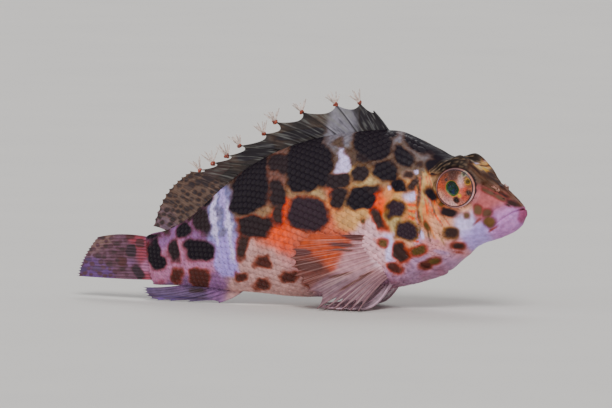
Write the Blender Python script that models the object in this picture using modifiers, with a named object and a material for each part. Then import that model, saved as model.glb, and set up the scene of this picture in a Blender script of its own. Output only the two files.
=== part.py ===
# Coral hawkfish, life size, propped on its fins as it rests on the sea bed.
# Metres, +Z up, head towards +X, floor at Z = 0, origin under the middle of the whole fish.
# The fish is shaped straight and level, then bent and pitched into its pose.
# Straight frame: x is minus the distance behind the snout tip, y the fish's left, z the height.
import math
import random

import bmesh
import bpy
from mathutils import Vector

MM = 0.001
GAP = 0.3 * MM

# Pose
PITCH = math.radians(8.8)
SNOUT_HEIGHT = 18.4 * MM
HEAD_TURN = math.radians(4.0)
HEAD_TURN_FROM, HEAD_TURN_TO = 14.0 * MM, 28.0 * MM
TAIL_TURN = math.radians(20.0)
TAIL_TURN_FROM, TAIL_TURN_TO = 48.0 * MM, 86.0 * MM
BEND_STEP = 0.5 * MM

# Body outline in millimetres: distance behind the snout, back, belly, half width, height of the
# widest line, then how full the section is above and below that line (under 1 is fuller).
BODY_LINES = [
    (0.0, 0.5, -1.5, 0.75, -0.5, 0.90, 0.90),
    (1.2, 2.0, -3.0, 2.1, -0.2, 0.90, 0.90),
    (2.9, 4.0, -3.9, 2.9, 0.2, 0.88, 0.90),
    (4.5, 5.7, -4.3, 3.5, 0.5, 0.85, 0.90),
    (6.5, 7.9, -4.7, 4.0, 0.8, 0.82, 0.90),
    (8.5, 9.4, -5.0, 4.4, 1.0, 0.80, 0.90),
    (10.5, 10.2, -5.7, 4.8, 1.1, 0.80, 0.90),
    (12.5, 11.1, -7.1, 5.2, 1.2, 0.85, 0.90),
    (15.0, 12.8, -8.5, 5.8, 1.4, 0.95, 0.88),
    (18.0, 14.8, -9.7, 6.4, 1.5, 1.05, 0.86),
    (21.0, 16.5, -10.3, 6.8, 1.5, 1.12, 0.85),
    (24.0, 17.2, -10.6, 7.1, 1.5, 1.18, 0.86),
    (28.0, 17.6, -10.8, 7.3, 1.7, 1.20, 0.90),
    (34.0, 17.7, -10.9, 7.1, 2.2, 1.20, 0.92),
    (40.0, 17.2, -10.6, 6.5, 2.5, 1.20, 0.95),
    (46.0, 15.9, -9.8, 5.7, 2.4, 1.18, 0.98),
    (52.0, 13.6, -8.4, 4.7, 2.0, 1.15, 1.00),
    (58.0, 10.1, -7.2, 3.5, 1.2, 1.10, 1.05),
    (63.0, 7.0, -6.0, 2.6, 0.6, 1.05, 1.05),
    (68.0, 5.1, -5.1, 1.9, 0.1, 1.00, 1.00),
    (72.0, 4.7, -4.6, 1.35, 0.1, 1.00, 1.00),
    (73.2, 4.4, -4.4, 0.90, 0.1, 1.00, 1.00),
]
BODY_END = BODY_LINES[-1][0] * MM
HEAD_STEP, TRUNK_STEP, TAIL_STEP = 0.95 * MM, 1.7 * MM, 1.6 * MM
HEAD_TO, TRUNK_TO = 28.9 * MM, 58.0 * MM
SECTION_POINTS = 36

# Swellings of the body surface on each side: distance behind the snout, out from the middle,
# height, then the three half sizes. The first is the orbit, the second the base of the pectoral fin.
SWELLINGS = [
    ((10.7, 2.9, 5.2), (5.1, 2.6, 5.1)),
    ((25.0, 4.4, -5.5), (2.3, 2.3, 4.4)),
]
SWELLING_EDGE = 9.0

# Eyes
EYE_PLACE = (10.7, 3.6, 5.2)
EYE_RADII = (3.8, 2.35, 3.8)
EYE_SEGMENTS, EYE_RINGS = 20, 12
EYE_RIM_RADIUS = 3.65
EYE_RIM_THICKNESS = 0.45 * MM
EYE_RIM_SINK = 0.0

# Mouth, lips and nostrils
MOUTH_LINE = [(-1.5, 0.0), (0.2, 0.0), (1.7, -0.5), (3.2, -1.2), (4.6, -2.1), (5.6, -2.9)]
MOUTH_GAP = 0.4 * MM
LIP_RADIUS = 0.52 * MM
LIP_RISE = 0.62 * MM
LIP_SET_BACK = 0.3 * MM
FRONT_NOSTRIL = (3.7, 4.0)
FRONT_NOSTRIL_RADIUS = 0.42 * MM
FRONT_NOSTRIL_HEIGHT = 0.75 * MM
REAR_NOSTRIL = (5.5, 5.2)
REAR_NOSTRIL_RADIUS = 0.45 * MM
NOSTRIL_CIRRI = 4
CHEEK_RIDGE = [(13.9, 7.4), (15.6, 4.4), (16.2, 1.0), (15.4, -2.2), (12.8, -4.2), (9.6, -4.3)]
CHEEK_RIDGE_RADIUS = 0.9 * MM
CHEEK_RIDGE_SINK = 0.72 * MM

# Thin cuts that part the body: along the gill opening, and ahead of the tail stalk
GILL_CUT = [
    (17.6, 20.0), (18.8, 16.0), (20.2, 11.0), (21.3, 7.6), (22.8, 4.8), (23.8, 2.2),
    (23.6, -0.6), (22.6, -3.4), (20.9, -6.0), (18.6, -8.0), (16.0, -10.5),
]
TAIL_CUT = [(60.6, 12.0), (61.4, 6.0), (61.6, 0.6), (61.2, -4.4), (60.4, -9.0)]
CUT_HALF_SPAN = 12.0 * MM

# Fins
RAY_THICKNESS = 0.95 * MM
WEB_THICKNESS = 0.55 * MM
ROOT_DEPTH = 1.5 * MM

# Each dorsal spine in millimetres: root and tip behind the snout, height of the tip
DORSAL_SPINES = [
    (22.9, 25.9, 20.9), (25.9, 28.5, 22.7), (28.9, 32.8, 23.0), (32.0, 39.6, 22.5),
    (35.2, 44.7, 21.4), (38.4, 47.3, 19.6), (41.6, 52.0, 18.1), (44.8, 54.9, 16.6),
    (48.0, 57.6, 15.7), (51.2, 60.6, 14.8),
]
BARE_SPINES = 1
SOFT_DORSAL_RAYS = 12
SOFT_DORSAL_ROOTS = (54.0, 65.2)
SOFT_DORSAL_EDGE = [(62.4, 14.8), (65.0, 13.6), (67.6, 11.8), (69.8, 9.2), (71.2, 6.6)]
DORSAL_PARTING = [(52.3, 9.0), (53.4, 13.6), (61.6, 15.5), (65.0, 16.4)]
SPINE_SWAY = 0.3 * MM
CIRRI_PER_SPINE = 5
KNOB_RADIUS = 0.55 * MM
CIRRUS_LENGTH = 2.2 * MM
CIRRUS_RADIUS = 0.25 * MM
CIRRUS_TIP_RADIUS = 0.12 * MM

# Anal fin: roots behind the snout, then each tip's distance behind it and height over the floor
ANAL_ROOTS = (53.8, 62.3)
ANAL_TIPS = [
    (60.6, -0.15), (66.8, -0.15), (70.8, -0.15), (73.2, -0.1), (74.6, 0.1),
    (75.3, 0.6), (75.7, 1.1), (75.8, 1.6), (75.7, 2.1),
]
CAUDAL_RAYS = 15
CAUDAL_TIPS_AT = 88.6
CAUDAL_SLANT = 2.6
CAUDAL_FORK = -0.9
CAUDAL_MIDDLE = (0.1, 1.7, 2.1)
CAUDAL_HALF_HEIGHT = (3.8, 4.2, 3.2)

# Pectoral fin: root line, then each ray's tip behind the snout, out and up (None rests on the floor).
# The left fin lies folded further back than the right one.
PECTORAL_ROOTS = ((25.0, 5.5, -1.4), (26.2, 4.3, -8.8))
PECTORAL_TIPS = [
    (38.7, 7.5, 1.0), (40.9, 7.8, 0.1), (42.1, 8.0, -1.3), (42.7, 8.2, -2.8),
    (42.5, 8.6, -4.4), (41.9, 9.0, -6.0), (40.9, 9.4, -7.6), (39.7, 9.9, -9.1),
    (38.2, 10.4, None), (36.5, 10.9, None), (34.8, 11.4, None), (33.1, 11.8, None),
    (31.4, 12.1, None), (29.8, 12.2, None),
]
LEFT_PECTORAL_FOLD = (5.5, -1.5)
FREE_PECTORAL_RAYS = 6
PELVIC_ROOTS = ((25.9, 2.7), (28.4, 1.3))
RIGHT_PELVIC_TIPS = [
    (30.4, 8.4), (32.8, 9.3), (35.3, 9.2), (37.5, 8.0), (39.0, 6.2), (39.8, 4.2),
]
LEFT_PELVIC_TIPS = [
    (33.4, 6.5), (36.0, 6.7), (38.2, 6.2), (39.8, 5.2), (40.8, 4.0), (41.2, 2.7),
]

SEED = 11


def clear_scene():
    for old in list(bpy.data.objects):
        bpy.data.objects.remove(old)


def new_collection(name, shown=True):
    made = bpy.data.collections.new(name)
    bpy.context.scene.collection.children.link(made)
    made.hide_render = not shown
    return made


def hermite(table, at, column):
    # A smooth curve through one column of a table, whose first column is the distance.
    last = len(table) - 1
    row = 0
    while row < last - 1 and at > table[row + 1][0]:
        row += 1
    x0, x1 = table[row][0], table[row + 1][0]
    y0, y1 = table[row][column], table[row + 1][column]

    def slope(middle):
        low, high = max(middle - 1, 0), min(middle + 1, last)
        return (table[high][column] - table[low][column]) / (table[high][0] - table[low][0])

    span = x1 - x0
    t = min(max((at - x0) / span, 0.0), 1.0)
    m0, m1 = slope(row) * span, slope(row + 1) * span
    return (
        y0 * (2 * t**3 - 3 * t**2 + 1)
        + m0 * (t**3 - 2 * t**2 + t)
        + y1 * (3 * t**2 - 2 * t**3)
        + m1 * (t**3 - t**2)
    )


def section(behind):
    # Back, belly, half width, widest height (metres) and the two fullness powers at one distance.
    values = [hermite(BODY_LINES, behind / MM, column) for column in range(1, 7)]
    return [value * MM for value in values[:4]] + values[4:]


def flank(behind, height):
    # Half width of the body at a distance behind the snout and a height.
    back, belly, half_width, widest, crown, keel = section(behind)
    end, power = (back, crown) if height > widest else (belly, keel)
    share = min(abs((height - widest) / (end - widest)), 1.0)
    return half_width * math.sqrt(1.0 - share**2) ** power


def swollen(point, grow):
    # The point, pushed out where it lies inside one of the swellings.
    side = 1.0 if point.y >= 0 else -1.0
    for (behind, out, up), radii in SWELLINGS:
        centre = Vector((-behind, side * out, up)) * MM
        offset = point - centre
        scaled = Vector(offset[i] / (radii[i] * MM + grow) for i in range(3))
        reach = max(scaled.length, 0.05)
        push = (1.0 + reach**-SWELLING_EDGE) ** (1.0 / SWELLING_EDGE)
        if side * scaled.y > -0.9:
            point = centre + offset * push
    return point


def section_ring(behind, grow):
    back, belly, half_width, widest, crown, keel = section(behind)
    ring = []
    for step in range(SECTION_POINTS):
        turn = 2 * math.pi * step / SECTION_POINTS
        across, up = math.cos(turn), math.sin(turn)
        power = crown if up > 0 else keel
        reach = (back - widest if up > 0 else widest - belly) + grow
        y = math.copysign(abs(across) ** power, across) * (half_width + grow)
        point = Vector((-behind, y, widest + up * reach))
        ring.append(swollen(point, grow))
    return ring


def body_stations():
    stations = []
    at = 0.0
    while at < BODY_END - 0.3 * TAIL_STEP:
        stations.append(at)
        if at < HEAD_TO:
            at += HEAD_STEP
        elif at < TRUNK_TO:
            at += TRUNK_STEP
        else:
            at += TAIL_STEP
    stations.append(BODY_END)
    return stations


def body_mesh(name, grow=0.0):
    # The whole head, trunk and tail stalk as one skin lofted through its sections.
    shape = bmesh.new()
    stations = body_stations()
    rings = []
    for place, behind in enumerate(stations):
        ring = section_ring(behind, grow)
        if place == len(stations) - 1:
            ring = [point - Vector((grow, 0, 0)) for point in ring]
        rings.append([shape.verts.new(point) for point in ring])
    for front, rear in zip(rings, rings[1:]):
        for step in range(SECTION_POINTS):
            after = (step + 1) % SECTION_POINTS
            shape.faces.new((front[step], front[after], rear[after], rear[step]))
    for ring, way in ((rings[0], 1.0), (rings[-1], -1.0)):
        middle = sum((vert.co for vert in ring), Vector()) / len(ring)
        tip = shape.verts.new(middle + Vector((way * (0.35 * MM + grow), 0, 0)))
        for step in range(SECTION_POINTS):
            after = (step + 1) % SECTION_POINTS
            shape.faces.new((ring[after], ring[step], tip) if way > 0 else (ring[step], ring[after], tip))
    bmesh.ops.recalc_face_normals(shape, faces=shape.faces)
    return object_from(shape, name)


def object_from(shape, name, collection=None):
    bmesh.ops.triangulate(shape, faces=shape.faces)
    mesh = bpy.data.meshes.new(name)
    shape.to_mesh(mesh)
    shape.free()
    made = bpy.data.objects.new(name, mesh)
    (collection or bpy.context.scene.collection).objects.link(made)
    return made


def applied(obj):
    # Replaces the object's mesh by what its modifiers make of it.
    graph = bpy.context.evaluated_depsgraph_get()
    mesh = bpy.data.meshes.new_from_object(obj.evaluated_get(graph))
    obj.modifiers.clear()
    obj.data = mesh
    return obj


def combine(obj, others, operation, solver="EXACT"):
    # One Boolean of the object with a collection of closed meshes, applied, and the meshes removed.
    helpers = new_collection("cutters", shown=False)
    for other in others:
        for home in list(other.users_collection):
            home.objects.unlink(other)
        helpers.objects.link(other)
        other.hide_render = True
        other.display_type = "WIRE"
    step = obj.modifiers.new(operation.lower(), "BOOLEAN")
    step.operation = operation
    step.operand_type = "COLLECTION"
    step.collection = helpers
    step.solver = solver
    applied(obj)
    for other in others:
        bpy.data.objects.remove(other)
    bpy.data.collections.remove(helpers)
    return obj


def closed_pieces(obj):
    # The separate closed surfaces of the object's mesh, each as a bmesh, the largest first.
    whole = bmesh.new()
    whole.from_mesh(obj.data)
    whole.faces.ensure_lookup_table()
    seen, groups = set(), []
    for start in whole.faces:
        if start.index in seen:
            continue
        group, waiting = [], [start]
        seen.add(start.index)
        while waiting:
            face = waiting.pop()
            group.append(face.index)
            for edge in face.edges:
                for other in edge.link_faces:
                    if other.index not in seen:
                        seen.add(other.index)
                        waiting.append(other)
        groups.append(set(group))
    pieces = []
    for group in groups:
        piece = whole.copy()
        others = [face for face in piece.faces if face.index not in group]
        bmesh.ops.delete(piece, geom=others, context="FACES")
        pieces.append(piece)
    whole.free()
    return sorted(pieces, key=lambda piece: -piece.calc_volume())


def keep_largest(obj):
    pieces = closed_pieces(obj)
    pieces[0].to_mesh(obj.data)
    for piece in pieces:
        piece.free()
    return obj


def cylinder_between(name, foot, tip, foot_radius, tip_radius, sides=6):
    shape = bmesh.new()
    along = tip - foot
    bmesh.ops.create_cone(
        shape, cap_ends=True, segments=sides,
        radius1=foot_radius, radius2=tip_radius, depth=along.length,
    )
    turn = Vector((0, 0, 1)).rotation_difference(along).to_matrix()
    bmesh.ops.rotate(shape, verts=shape.verts, cent=(0, 0, 0), matrix=turn)
    bmesh.ops.translate(shape, verts=shape.verts, vec=(foot + tip) / 2)
    return object_from(shape, name)


def ellipsoid(name, centre, radii, segments, rings):
    shape = bmesh.new()
    bmesh.ops.create_uvsphere(shape, u_segments=segments, v_segments=rings, radius=1.0)
    bmesh.ops.rotate(
        shape, verts=shape.verts, cent=(0, 0, 0),
        matrix=Vector((0, 0, 1)).rotation_difference(Vector((0, 1, 0))).to_matrix(),
    )
    bmesh.ops.scale(shape, verts=shape.verts, vec=radii)
    bmesh.ops.translate(shape, verts=shape.verts, vec=centre)
    return object_from(shape, name)


def tube(name, points, radius, closed=False):
    # A round bar through the points, as a closed mesh.
    curve = bpy.data.curves.new(name, "CURVE")
    curve.dimensions = "3D"
    curve.bevel_depth = radius
    curve.bevel_resolution = 1
    curve.use_fill_caps = True
    line = curve.splines.new("POLY")
    line.points.add(len(points) - 1)
    for place, point in zip(line.points, points):
        place.co = (*point, 1.0)
    line.use_cyclic_u = closed
    bar = bpy.data.objects.new(name, curve)
    bpy.context.scene.collection.objects.link(bar)
    graph = bpy.context.evaluated_depsgraph_get()
    mesh = bpy.data.meshes.new_from_object(bar.evaluated_get(graph))
    bpy.data.objects.remove(bar)
    shape = bmesh.new()
    shape.from_mesh(mesh)
    bmesh.ops.remove_doubles(shape, verts=shape.verts, dist=0.01 * MM)
    bmesh.ops.recalc_face_normals(shape, faces=shape.faces)
    return object_from(shape, name)


def blade(name, line, thickness):
    # A thin wall across the whole body that follows a line drawn in side view.
    shape = bmesh.new()
    verts = [shape.verts.new((-behind * MM, -CUT_HALF_SPAN, up * MM)) for behind, up in line]
    edges = [shape.edges.new(pair) for pair in zip(verts, verts[1:])]
    grown = bmesh.ops.extrude_edge_only(shape, edges=edges)["geom"]
    moved = [item for item in grown if isinstance(item, bmesh.types.BMVert)]
    bmesh.ops.translate(shape, verts=moved, vec=(0, 2 * CUT_HALF_SPAN, 0))
    made = object_from(shape, name)
    wall = made.modifiers.new("wall", "SOLIDIFY")
    wall.thickness = thickness
    wall.offset = 0.0
    wall.use_even_offset = True
    return applied(made)


def smooth_line(line, steps):
    # Points along a smooth curve through a list of (distance, height) pairs.
    rows = [(place, *pair) for place, pair in enumerate(line)]
    found = []
    for step in range(steps + 1):
        at = (len(line) - 1) * step / steps
        found.append(tuple(hermite(rows, at, column) for column in (1, 2)))
    return found


def on_skin(behind, up, side, sink=0.0):
    # A point of the body surface, given in millimetres, sunk in from the side.
    y = max(flank(behind * MM, up * MM) - sink, 0.0)
    return swollen(Vector((-behind * MM, side * y, up * MM)), 0.0)


def mouth_edge(shift):
    # The rim of the mouth from its right corner round the snout to its left corner.
    stretch = [pair for pair in smooth_line(MOUTH_LINE[1:], 6)]
    right = [on_skin(behind, up + shift / MM, -1, 0.15 * MM) for behind, up in reversed(stretch)]
    left = [Vector((point.x, -point.y, point.z)) for point in reversed(right)]
    front = Vector((-LIP_SET_BACK, 0.0, stretch[0][1] * MM + shift))
    return right + [front] + left


def eye_rim(side):
    # The fold of skin round the eye, on the orbit's swelling.
    (behind, out, up), (_, depth, wide) = SWELLINGS[0]
    y = out + depth * math.sqrt(1.0 - (EYE_RIM_RADIUS / wide) ** 2) - EYE_RIM_SINK
    loop = []
    for step in range(EYE_SEGMENTS):
        turn = 2 * math.pi * (step + 0.5) / EYE_SEGMENTS
        across, rise = EYE_RIM_RADIUS * math.cos(turn), EYE_RIM_RADIUS * math.sin(turn)
        loop.append(Vector((-behind - across, side * y, up + rise)) * MM)
    return tube(f"eye_rim_{side}", loop, EYE_RIM_THICKNESS, closed=True)


def nostril_parts(side):
    # The raised rim of the front nostril with its fringe.
    behind, up = FRONT_NOSTRIL
    foot = on_skin(behind, up, side)
    outward = Vector((0.25, side * 0.75, 0.6)).normalized()
    rim_top = foot + outward * FRONT_NOSTRIL_HEIGHT
    parts = [
        cylinder_between(
            f"rim_{side}", foot - outward * 0.6 * MM, rim_top,
            FRONT_NOSTRIL_RADIUS, FRONT_NOSTRIL_RADIUS * 0.75,
        )
    ]
    for place in range(NOSTRIL_CIRRI):
        lean = (place - (NOSTRIL_CIRRI - 1) / 2) * 0.32
        way = (outward + Vector((-0.35, 0, 0.25)) + Vector((lean, 0, 0.0))).normalized()
        parts.append(
            cylinder_between(
                f"fringe_{side}_{place}", rim_top - way * 0.3 * MM, rim_top + way * 0.9 * MM,
                0.26 * MM, 0.1 * MM, sides=5,
            )
        )
    return parts


def whole_body():
    body = body_mesh("body")
    added = [tube("upper_lip", mouth_edge(LIP_RISE), LIP_RADIUS)]
    added.append(tube("lower_lip", mouth_edge(-LIP_RISE), LIP_RADIUS))
    for side in (-1, 1):
        added += nostril_parts(side)
        added.append(eye_rim(side))
        ridge = [on_skin(*pair, side, CHEEK_RIDGE_SINK) for pair in smooth_line(CHEEK_RIDGE, 8)]
        added.append(tube(f"cheek_ridge_{side}", ridge, CHEEK_RIDGE_RADIUS))
    combine(body, added, "UNION")
    keep_largest(body)
    cutters = [
        blade("mouth_cut", MOUTH_LINE, MOUTH_GAP),
        blade("gill_cut", smooth_line(GILL_CUT, 24), GAP),
        blade("tail_cut", smooth_line(TAIL_CUT, 8), GAP),
    ]
    for side in (-1, 1):
        behind, out, up = EYE_PLACE
        cutters.append(
            ellipsoid(
                f"socket_{side}", Vector((-behind, side * out, up)) * MM,
                [radius * MM + GAP for radius in EYE_RADII], EYE_SEGMENTS, EYE_RINGS,
            )
        )
        pit = on_skin(*REAR_NOSTRIL, side)
        cutters.append(ellipsoid(f"pit_{side}", pit, [REAR_NOSTRIL_RADIUS] * 3, 8, 6))
    return combine(body, cutters, "DIFFERENCE")


def bezier(root, bend, tip, t):
    return root * (1 - t) ** 2 + bend * 2 * t * (1 - t) + tip * t**2


def ridged_fin(name, rays, rows, between, reach, thickness=None):
    # A web with rays raised on both faces. Each ray is its root, bend and tip. The share of each
    # ray's length that the web after it reaches is in reach, and between places the web's columns.
    thick = thickness or [RAY_THICKNESS] * len(rays)
    columns = []
    for place, ray in enumerate(rays):
        line = [bezier(*ray, row / (rows - 1)) for row in range(rows)]
        columns.append((line, thick[place]))
        if place == len(rays) - 1:
            continue
        after = rays[place + 1]
        for share in between:
            line = []
            for row in range(rows):
                t = row / (rows - 1)
                t *= 1.0 - (1.0 - reach[place]) * t**2
                line.append(bezier(*ray, t).lerp(bezier(*after, t), share))
            columns.append((line, WEB_THICKNESS))
    shape = bmesh.new()
    grid = [[shape.verts.new(point) for point in line] for line, _ in columns]
    for first, second in zip(grid, grid[1:]):
        for row in range(rows - 1):
            a, b, c, d = first[row], second[row], second[row + 1], first[row + 1]
            shape.faces.new((a, b, c))
            shape.faces.new((a, c, d))
    fin = object_from(shape, name)
    widest = max(thick)
    weights = fin.vertex_groups.new(name="thickness")
    for column, (_, size) in enumerate(columns):
        for row in range(rows):
            slimmer = 1.0 - 0.35 * row / (rows - 1)
            local = max(size * slimmer, WEB_THICKNESS)
            weights.add([column * rows + row], local / widest, "REPLACE")
    wall = fin.modifiers.new("wall", "SOLIDIFY")
    wall.thickness = widest
    wall.offset = 0.0
    wall.vertex_group = "thickness"
    applied(fin)
    fin.vertex_groups.clear()
    return fin


def back_height(behind):
    return section(behind * MM)[0]


def belly_height(behind):
    return section(behind * MM)[1]


def dorsal_rays():
    rays = []
    for place, (root, tip, up) in enumerate(DORSAL_SPINES):
        sway = SPINE_SWAY * (1 if place % 2 else -1)
        foot = Vector((-root * MM, 0, back_height(root) - ROOT_DEPTH))
        end = Vector((-tip * MM, sway, up * MM))
        bend = foot.lerp(end, 0.5) + Vector((0.0, 0, 0.6 * MM))
        rays.append((foot, bend, end))
    first, last = SOFT_DORSAL_ROOTS
    edge = smooth_line(SOFT_DORSAL_EDGE, SOFT_DORSAL_RAYS - 1)
    for place, (tip, up) in enumerate(edge):
        root = first + (last - first) * place / (SOFT_DORSAL_RAYS - 1)
        foot = Vector((-root * MM, 0, back_height(root) - ROOT_DEPTH))
        end = Vector((-tip * MM, 0, up * MM))
        bend = foot.lerp(end, 0.5) + Vector((0.3 * MM, 0, 0.5 * MM))
        rays.append((foot, bend, end))
    return rays


def cirri_tuft(tip, number, chance):
    # A fleshy knob on a spine tip, with a fan of tapered skin threads.
    parts = [ellipsoid(f"knob_{number}", tip, [KNOB_RADIUS] * 3, 8, 5)]
    for place in range(CIRRI_PER_SPINE):
        around = 2 * math.pi * (place + 0.5) / CIRRI_PER_SPINE + chance.uniform(-0.15, 0.15)
        way = Vector((-0.3 + 0.75 * math.cos(around), 0.6 * math.sin(around), 1.0)).normalized()
        length = CIRRUS_LENGTH * chance.uniform(0.85, 1.1)
        parts.append(
            cylinder_between(
                f"cirrus_{number}_{place}", tip + way * KNOB_RADIUS * 0.55, tip + way * length,
                CIRRUS_RADIUS, CIRRUS_TIP_RADIUS, sides=4,
            )
        )
    return parts


def dorsal_fins(grown, chance):
    rays = dorsal_rays()
    spines = len(DORSAL_SPINES)
    reach = [0.78] * spines + [0.97] * (len(rays) - spines)
    thick = [RAY_THICKNESS] * spines + [0.8 * MM] * (len(rays) - spines)
    fin = ridged_fin("dorsal_fin", rays, 6, (0.3, 0.7), reach, thick)
    parting = blade("parting", smooth_line(DORSAL_PARTING, 6), GAP)
    combine(fin, [copy_of(grown), parting], "DIFFERENCE", "MANIFOLD")
    pieces = closed_pieces(fin)[:2]
    pieces.sort(key=lambda piece: -max(vert.co.x for vert in piece.verts))
    bpy.data.objects.remove(fin)
    spiny = object_from(pieces[0], "dorsal_fin_spiny")
    soft = object_from(pieces[1], "dorsal_fin_soft")
    tufts = []
    for number, (_, _, tip) in enumerate(rays[BARE_SPINES:spines]):
        tufts += cirri_tuft(tip - Vector((0, 0, 0.15 * MM)), number, chance)
    combine(spiny, tufts, "UNION")
    return [keep_largest(spiny), soft]


def copy_of(obj):
    made = obj.copy()
    made.data = obj.data.copy()
    bpy.context.scene.collection.objects.link(made)
    return made


def rooted(fin, grown):
    # Cuts a fin back to a hair's breadth off the body, and drops what that leaves inside it.
    combine(fin, [copy_of(grown)], "DIFFERENCE", "MANIFOLD")
    return keep_largest(fin)


def height_over_floor(behind, over):
    # Height in the straight frame that puts a point this far over the floor once the fish is posed.
    along = bent(behind)[0].x
    return (over - SNOUT_HEIGHT - along * math.sin(PITCH)) / math.cos(PITCH)


def anal_fin(grown):
    rays = []
    first, last = ANAL_ROOTS
    for place, (tip, over) in enumerate(ANAL_TIPS):
        root = first + (last - first) * place / (len(ANAL_TIPS) - 1)
        foot = Vector((-root * MM, 0, belly_height(root) + ROOT_DEPTH))
        level = height_over_floor(tip * MM, over * MM)
        end = Vector((-tip * MM, 0, level))
        middle = (root + tip) / 2 - 0.6
        low = height_over_floor(middle * MM, over * MM)
        bend = Vector((-middle * MM, 0, max(foot.lerp(end, 0.5).z - 1.0 * MM, low)))
        rays.append((foot, bend, end))
    thick = [1.0 * MM, 1.2 * MM, 1.1 * MM] + [0.85 * MM] * (len(rays) - 3)
    reach = [0.8, 0.85, 0.9] + [0.96] * (len(rays) - 3)
    return rooted(ridged_fin("anal_fin", rays, 6, (0.3, 0.7), reach, thick), grown)


def caudal_fin(grown):
    rays = []
    for place in range(CAUDAL_RAYS):
        u = 2.0 * place / (CAUDAL_RAYS - 1) - 1.0
        tip = CAUDAL_TIPS_AT - CAUDAL_SLANT * u + CAUDAL_FORK * u**2
        stops = (BODY_END / MM - 1.2, (BODY_END / MM + tip) / 2, tip)
        points = [
            Vector((-behind, 0, middle + half * u)) * MM
            for behind, middle, half in zip(stops, CAUDAL_MIDDLE, CAUDAL_HALF_HEIGHT)
        ]
        rays.append(points)
    reach = [0.97] * CAUDAL_RAYS
    thick = [0.9 * MM] * CAUDAL_RAYS
    return rooted(ridged_fin("caudal_fin", rays, 8, (0.5,), reach, thick), grown)


def pectoral_fin(side, name, grown):
    rays = []
    count = len(PECTORAL_TIPS)
    top, low = (Vector(root) for root in PECTORAL_ROOTS)
    back, inward = LEFT_PECTORAL_FOLD if side > 0 else (0.0, 0.0)
    for place, (tip, out, up) in enumerate(PECTORAL_TIPS):
        folded = place / (count - 1)
        tip, out = tip + back * folded, out + inward * folded
        root, across, rise = top.lerp(low, place / (count - 1))
        foot = Vector((-root, across - 1.2, rise)) * MM
        level = up * MM if up is not None else height_over_floor(tip * MM, 0.25 * MM)
        end = Vector((-tip * MM, out * MM, level))
        middle = foot.lerp(end, 0.32)
        away = max(middle.y, flank(-middle.x, middle.z)) + 1.5 * MM
        bend = Vector((middle.x, away, middle.z + 0.9 * MM * folded))
        line = [foot, bend, end]
        rays.append([Vector((point.x, side * point.y, point.z)) for point in line])
    webbed = count - FREE_PECTORAL_RAYS
    reach = [0.97] * (webbed - 1) + [0.9] + [0.74] * FREE_PECTORAL_RAYS
    thick = [0.75 * MM] * webbed + [0.95 * MM] * FREE_PECTORAL_RAYS
    if side < 0:
        rays.reverse()
        thick.reverse()
        reach = reach[count - 2::-1] + [0.97]
    return rooted(ridged_fin(name, rays, 7, (0.5,), reach, thick), grown)


def pelvic_fin(side, name, grown):
    rays = []
    (front_s, front_out), (rear_s, rear_out) = PELVIC_ROOTS
    tips = RIGHT_PELVIC_TIPS if side < 0 else LEFT_PELVIC_TIPS
    for place, (tip, out) in enumerate(tips):
        share = place / (len(tips) - 1)
        root = front_s + (rear_s - front_s) * share
        across = front_out + (rear_out - front_out) * share
        foot = Vector((-root * MM, across * MM, belly_height(root) + 1.6 * MM))
        end = Vector((-tip * MM, out * MM, height_over_floor(tip * MM, 0.3 * MM)))
        middle = foot.lerp(end, 0.5)
        bend = Vector((middle.x, middle.y, height_over_floor(-middle.x, 0.3 * MM)))
        rays.append([Vector((point.x, side * point.y, point.z)) for point in (foot, bend, end)])
    thick = [1.1 * MM] + [0.95 * MM] * (len(rays) - 1)
    reach = [0.92] * len(rays)
    if side < 0:
        rays.reverse()
        thick.reverse()
    return rooted(ridged_fin(name, rays, 6, (0.3, 0.7), reach, thick), grown)


def turn_at(behind):
    # How far the fish's midline is turned at a distance behind the snout.
    def eased(value, low, high):
        t = min(max((value - low) / (high - low), 0.0), 1.0)
        return t * t * (3 - 2 * t)

    head = HEAD_TURN * (1.0 - eased(behind, HEAD_TURN_FROM, HEAD_TURN_TO))
    return head + TAIL_TURN * eased(behind, TAIL_TURN_FROM, TAIL_TURN_TO)


def midline():
    # Points of the bent midline every BEND_STEP, from the snout back, with the trunk along X.
    points = [Vector((0, 0, 0))]
    longest = 100.0 * MM
    for step in range(int(longest / BEND_STEP)):
        turn = turn_at((step + 0.5) * BEND_STEP)
        points.append(points[-1] + Vector((-math.cos(turn), math.sin(turn), 0)) * BEND_STEP)
    return points


def bent(behind):
    # The bent midline's point at a distance behind the snout, and the way to the fish's left there.
    turn = turn_at(behind)
    left = Vector((math.sin(turn), math.cos(turn), 0))
    place = behind / BEND_STEP
    low = min(max(int(place), 0), len(MIDLINE) - 2)
    step = MIDLINE[low + 1] - MIDLINE[low]
    return MIDLINE[low] + step * (place - low), left


def posed(point):
    centre, left = bent(-point.x)
    flat = centre + left * point.y
    ahead, up = flat.x, point.z
    return Vector((
        ahead * math.cos(PITCH) - up * math.sin(PITCH),
        flat.y,
        SNOUT_HEIGHT + ahead * math.sin(PITCH) + up * math.cos(PITCH),
    ))


def pose(obj):
    for vert in obj.data.vertices:
        vert.co = posed(vert.co)
    obj.data.update()
    return obj


def flatten_on_floor(obj):
    # Cuts away what lies under the floor, which leaves small flats where the fish rests.
    shape = bmesh.new()
    shape.from_mesh(obj.data)
    cut = bmesh.ops.bisect_plane(
        shape, geom=shape.verts[:] + shape.edges[:] + shape.faces[:],
        plane_co=(0, 0, 0), plane_no=(0, 0, 1), clear_inner=True,
    )["geom_cut"]
    rim = [item for item in cut if isinstance(item, bmesh.types.BMEdge)]
    if rim:
        bmesh.ops.holes_fill(shape, edges=rim, sides=0)
    bmesh.ops.triangulate(shape, faces=shape.faces)
    bmesh.ops.recalc_face_normals(shape, faces=shape.faces)
    shape.to_mesh(obj.data)
    shape.free()
    return obj


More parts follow.
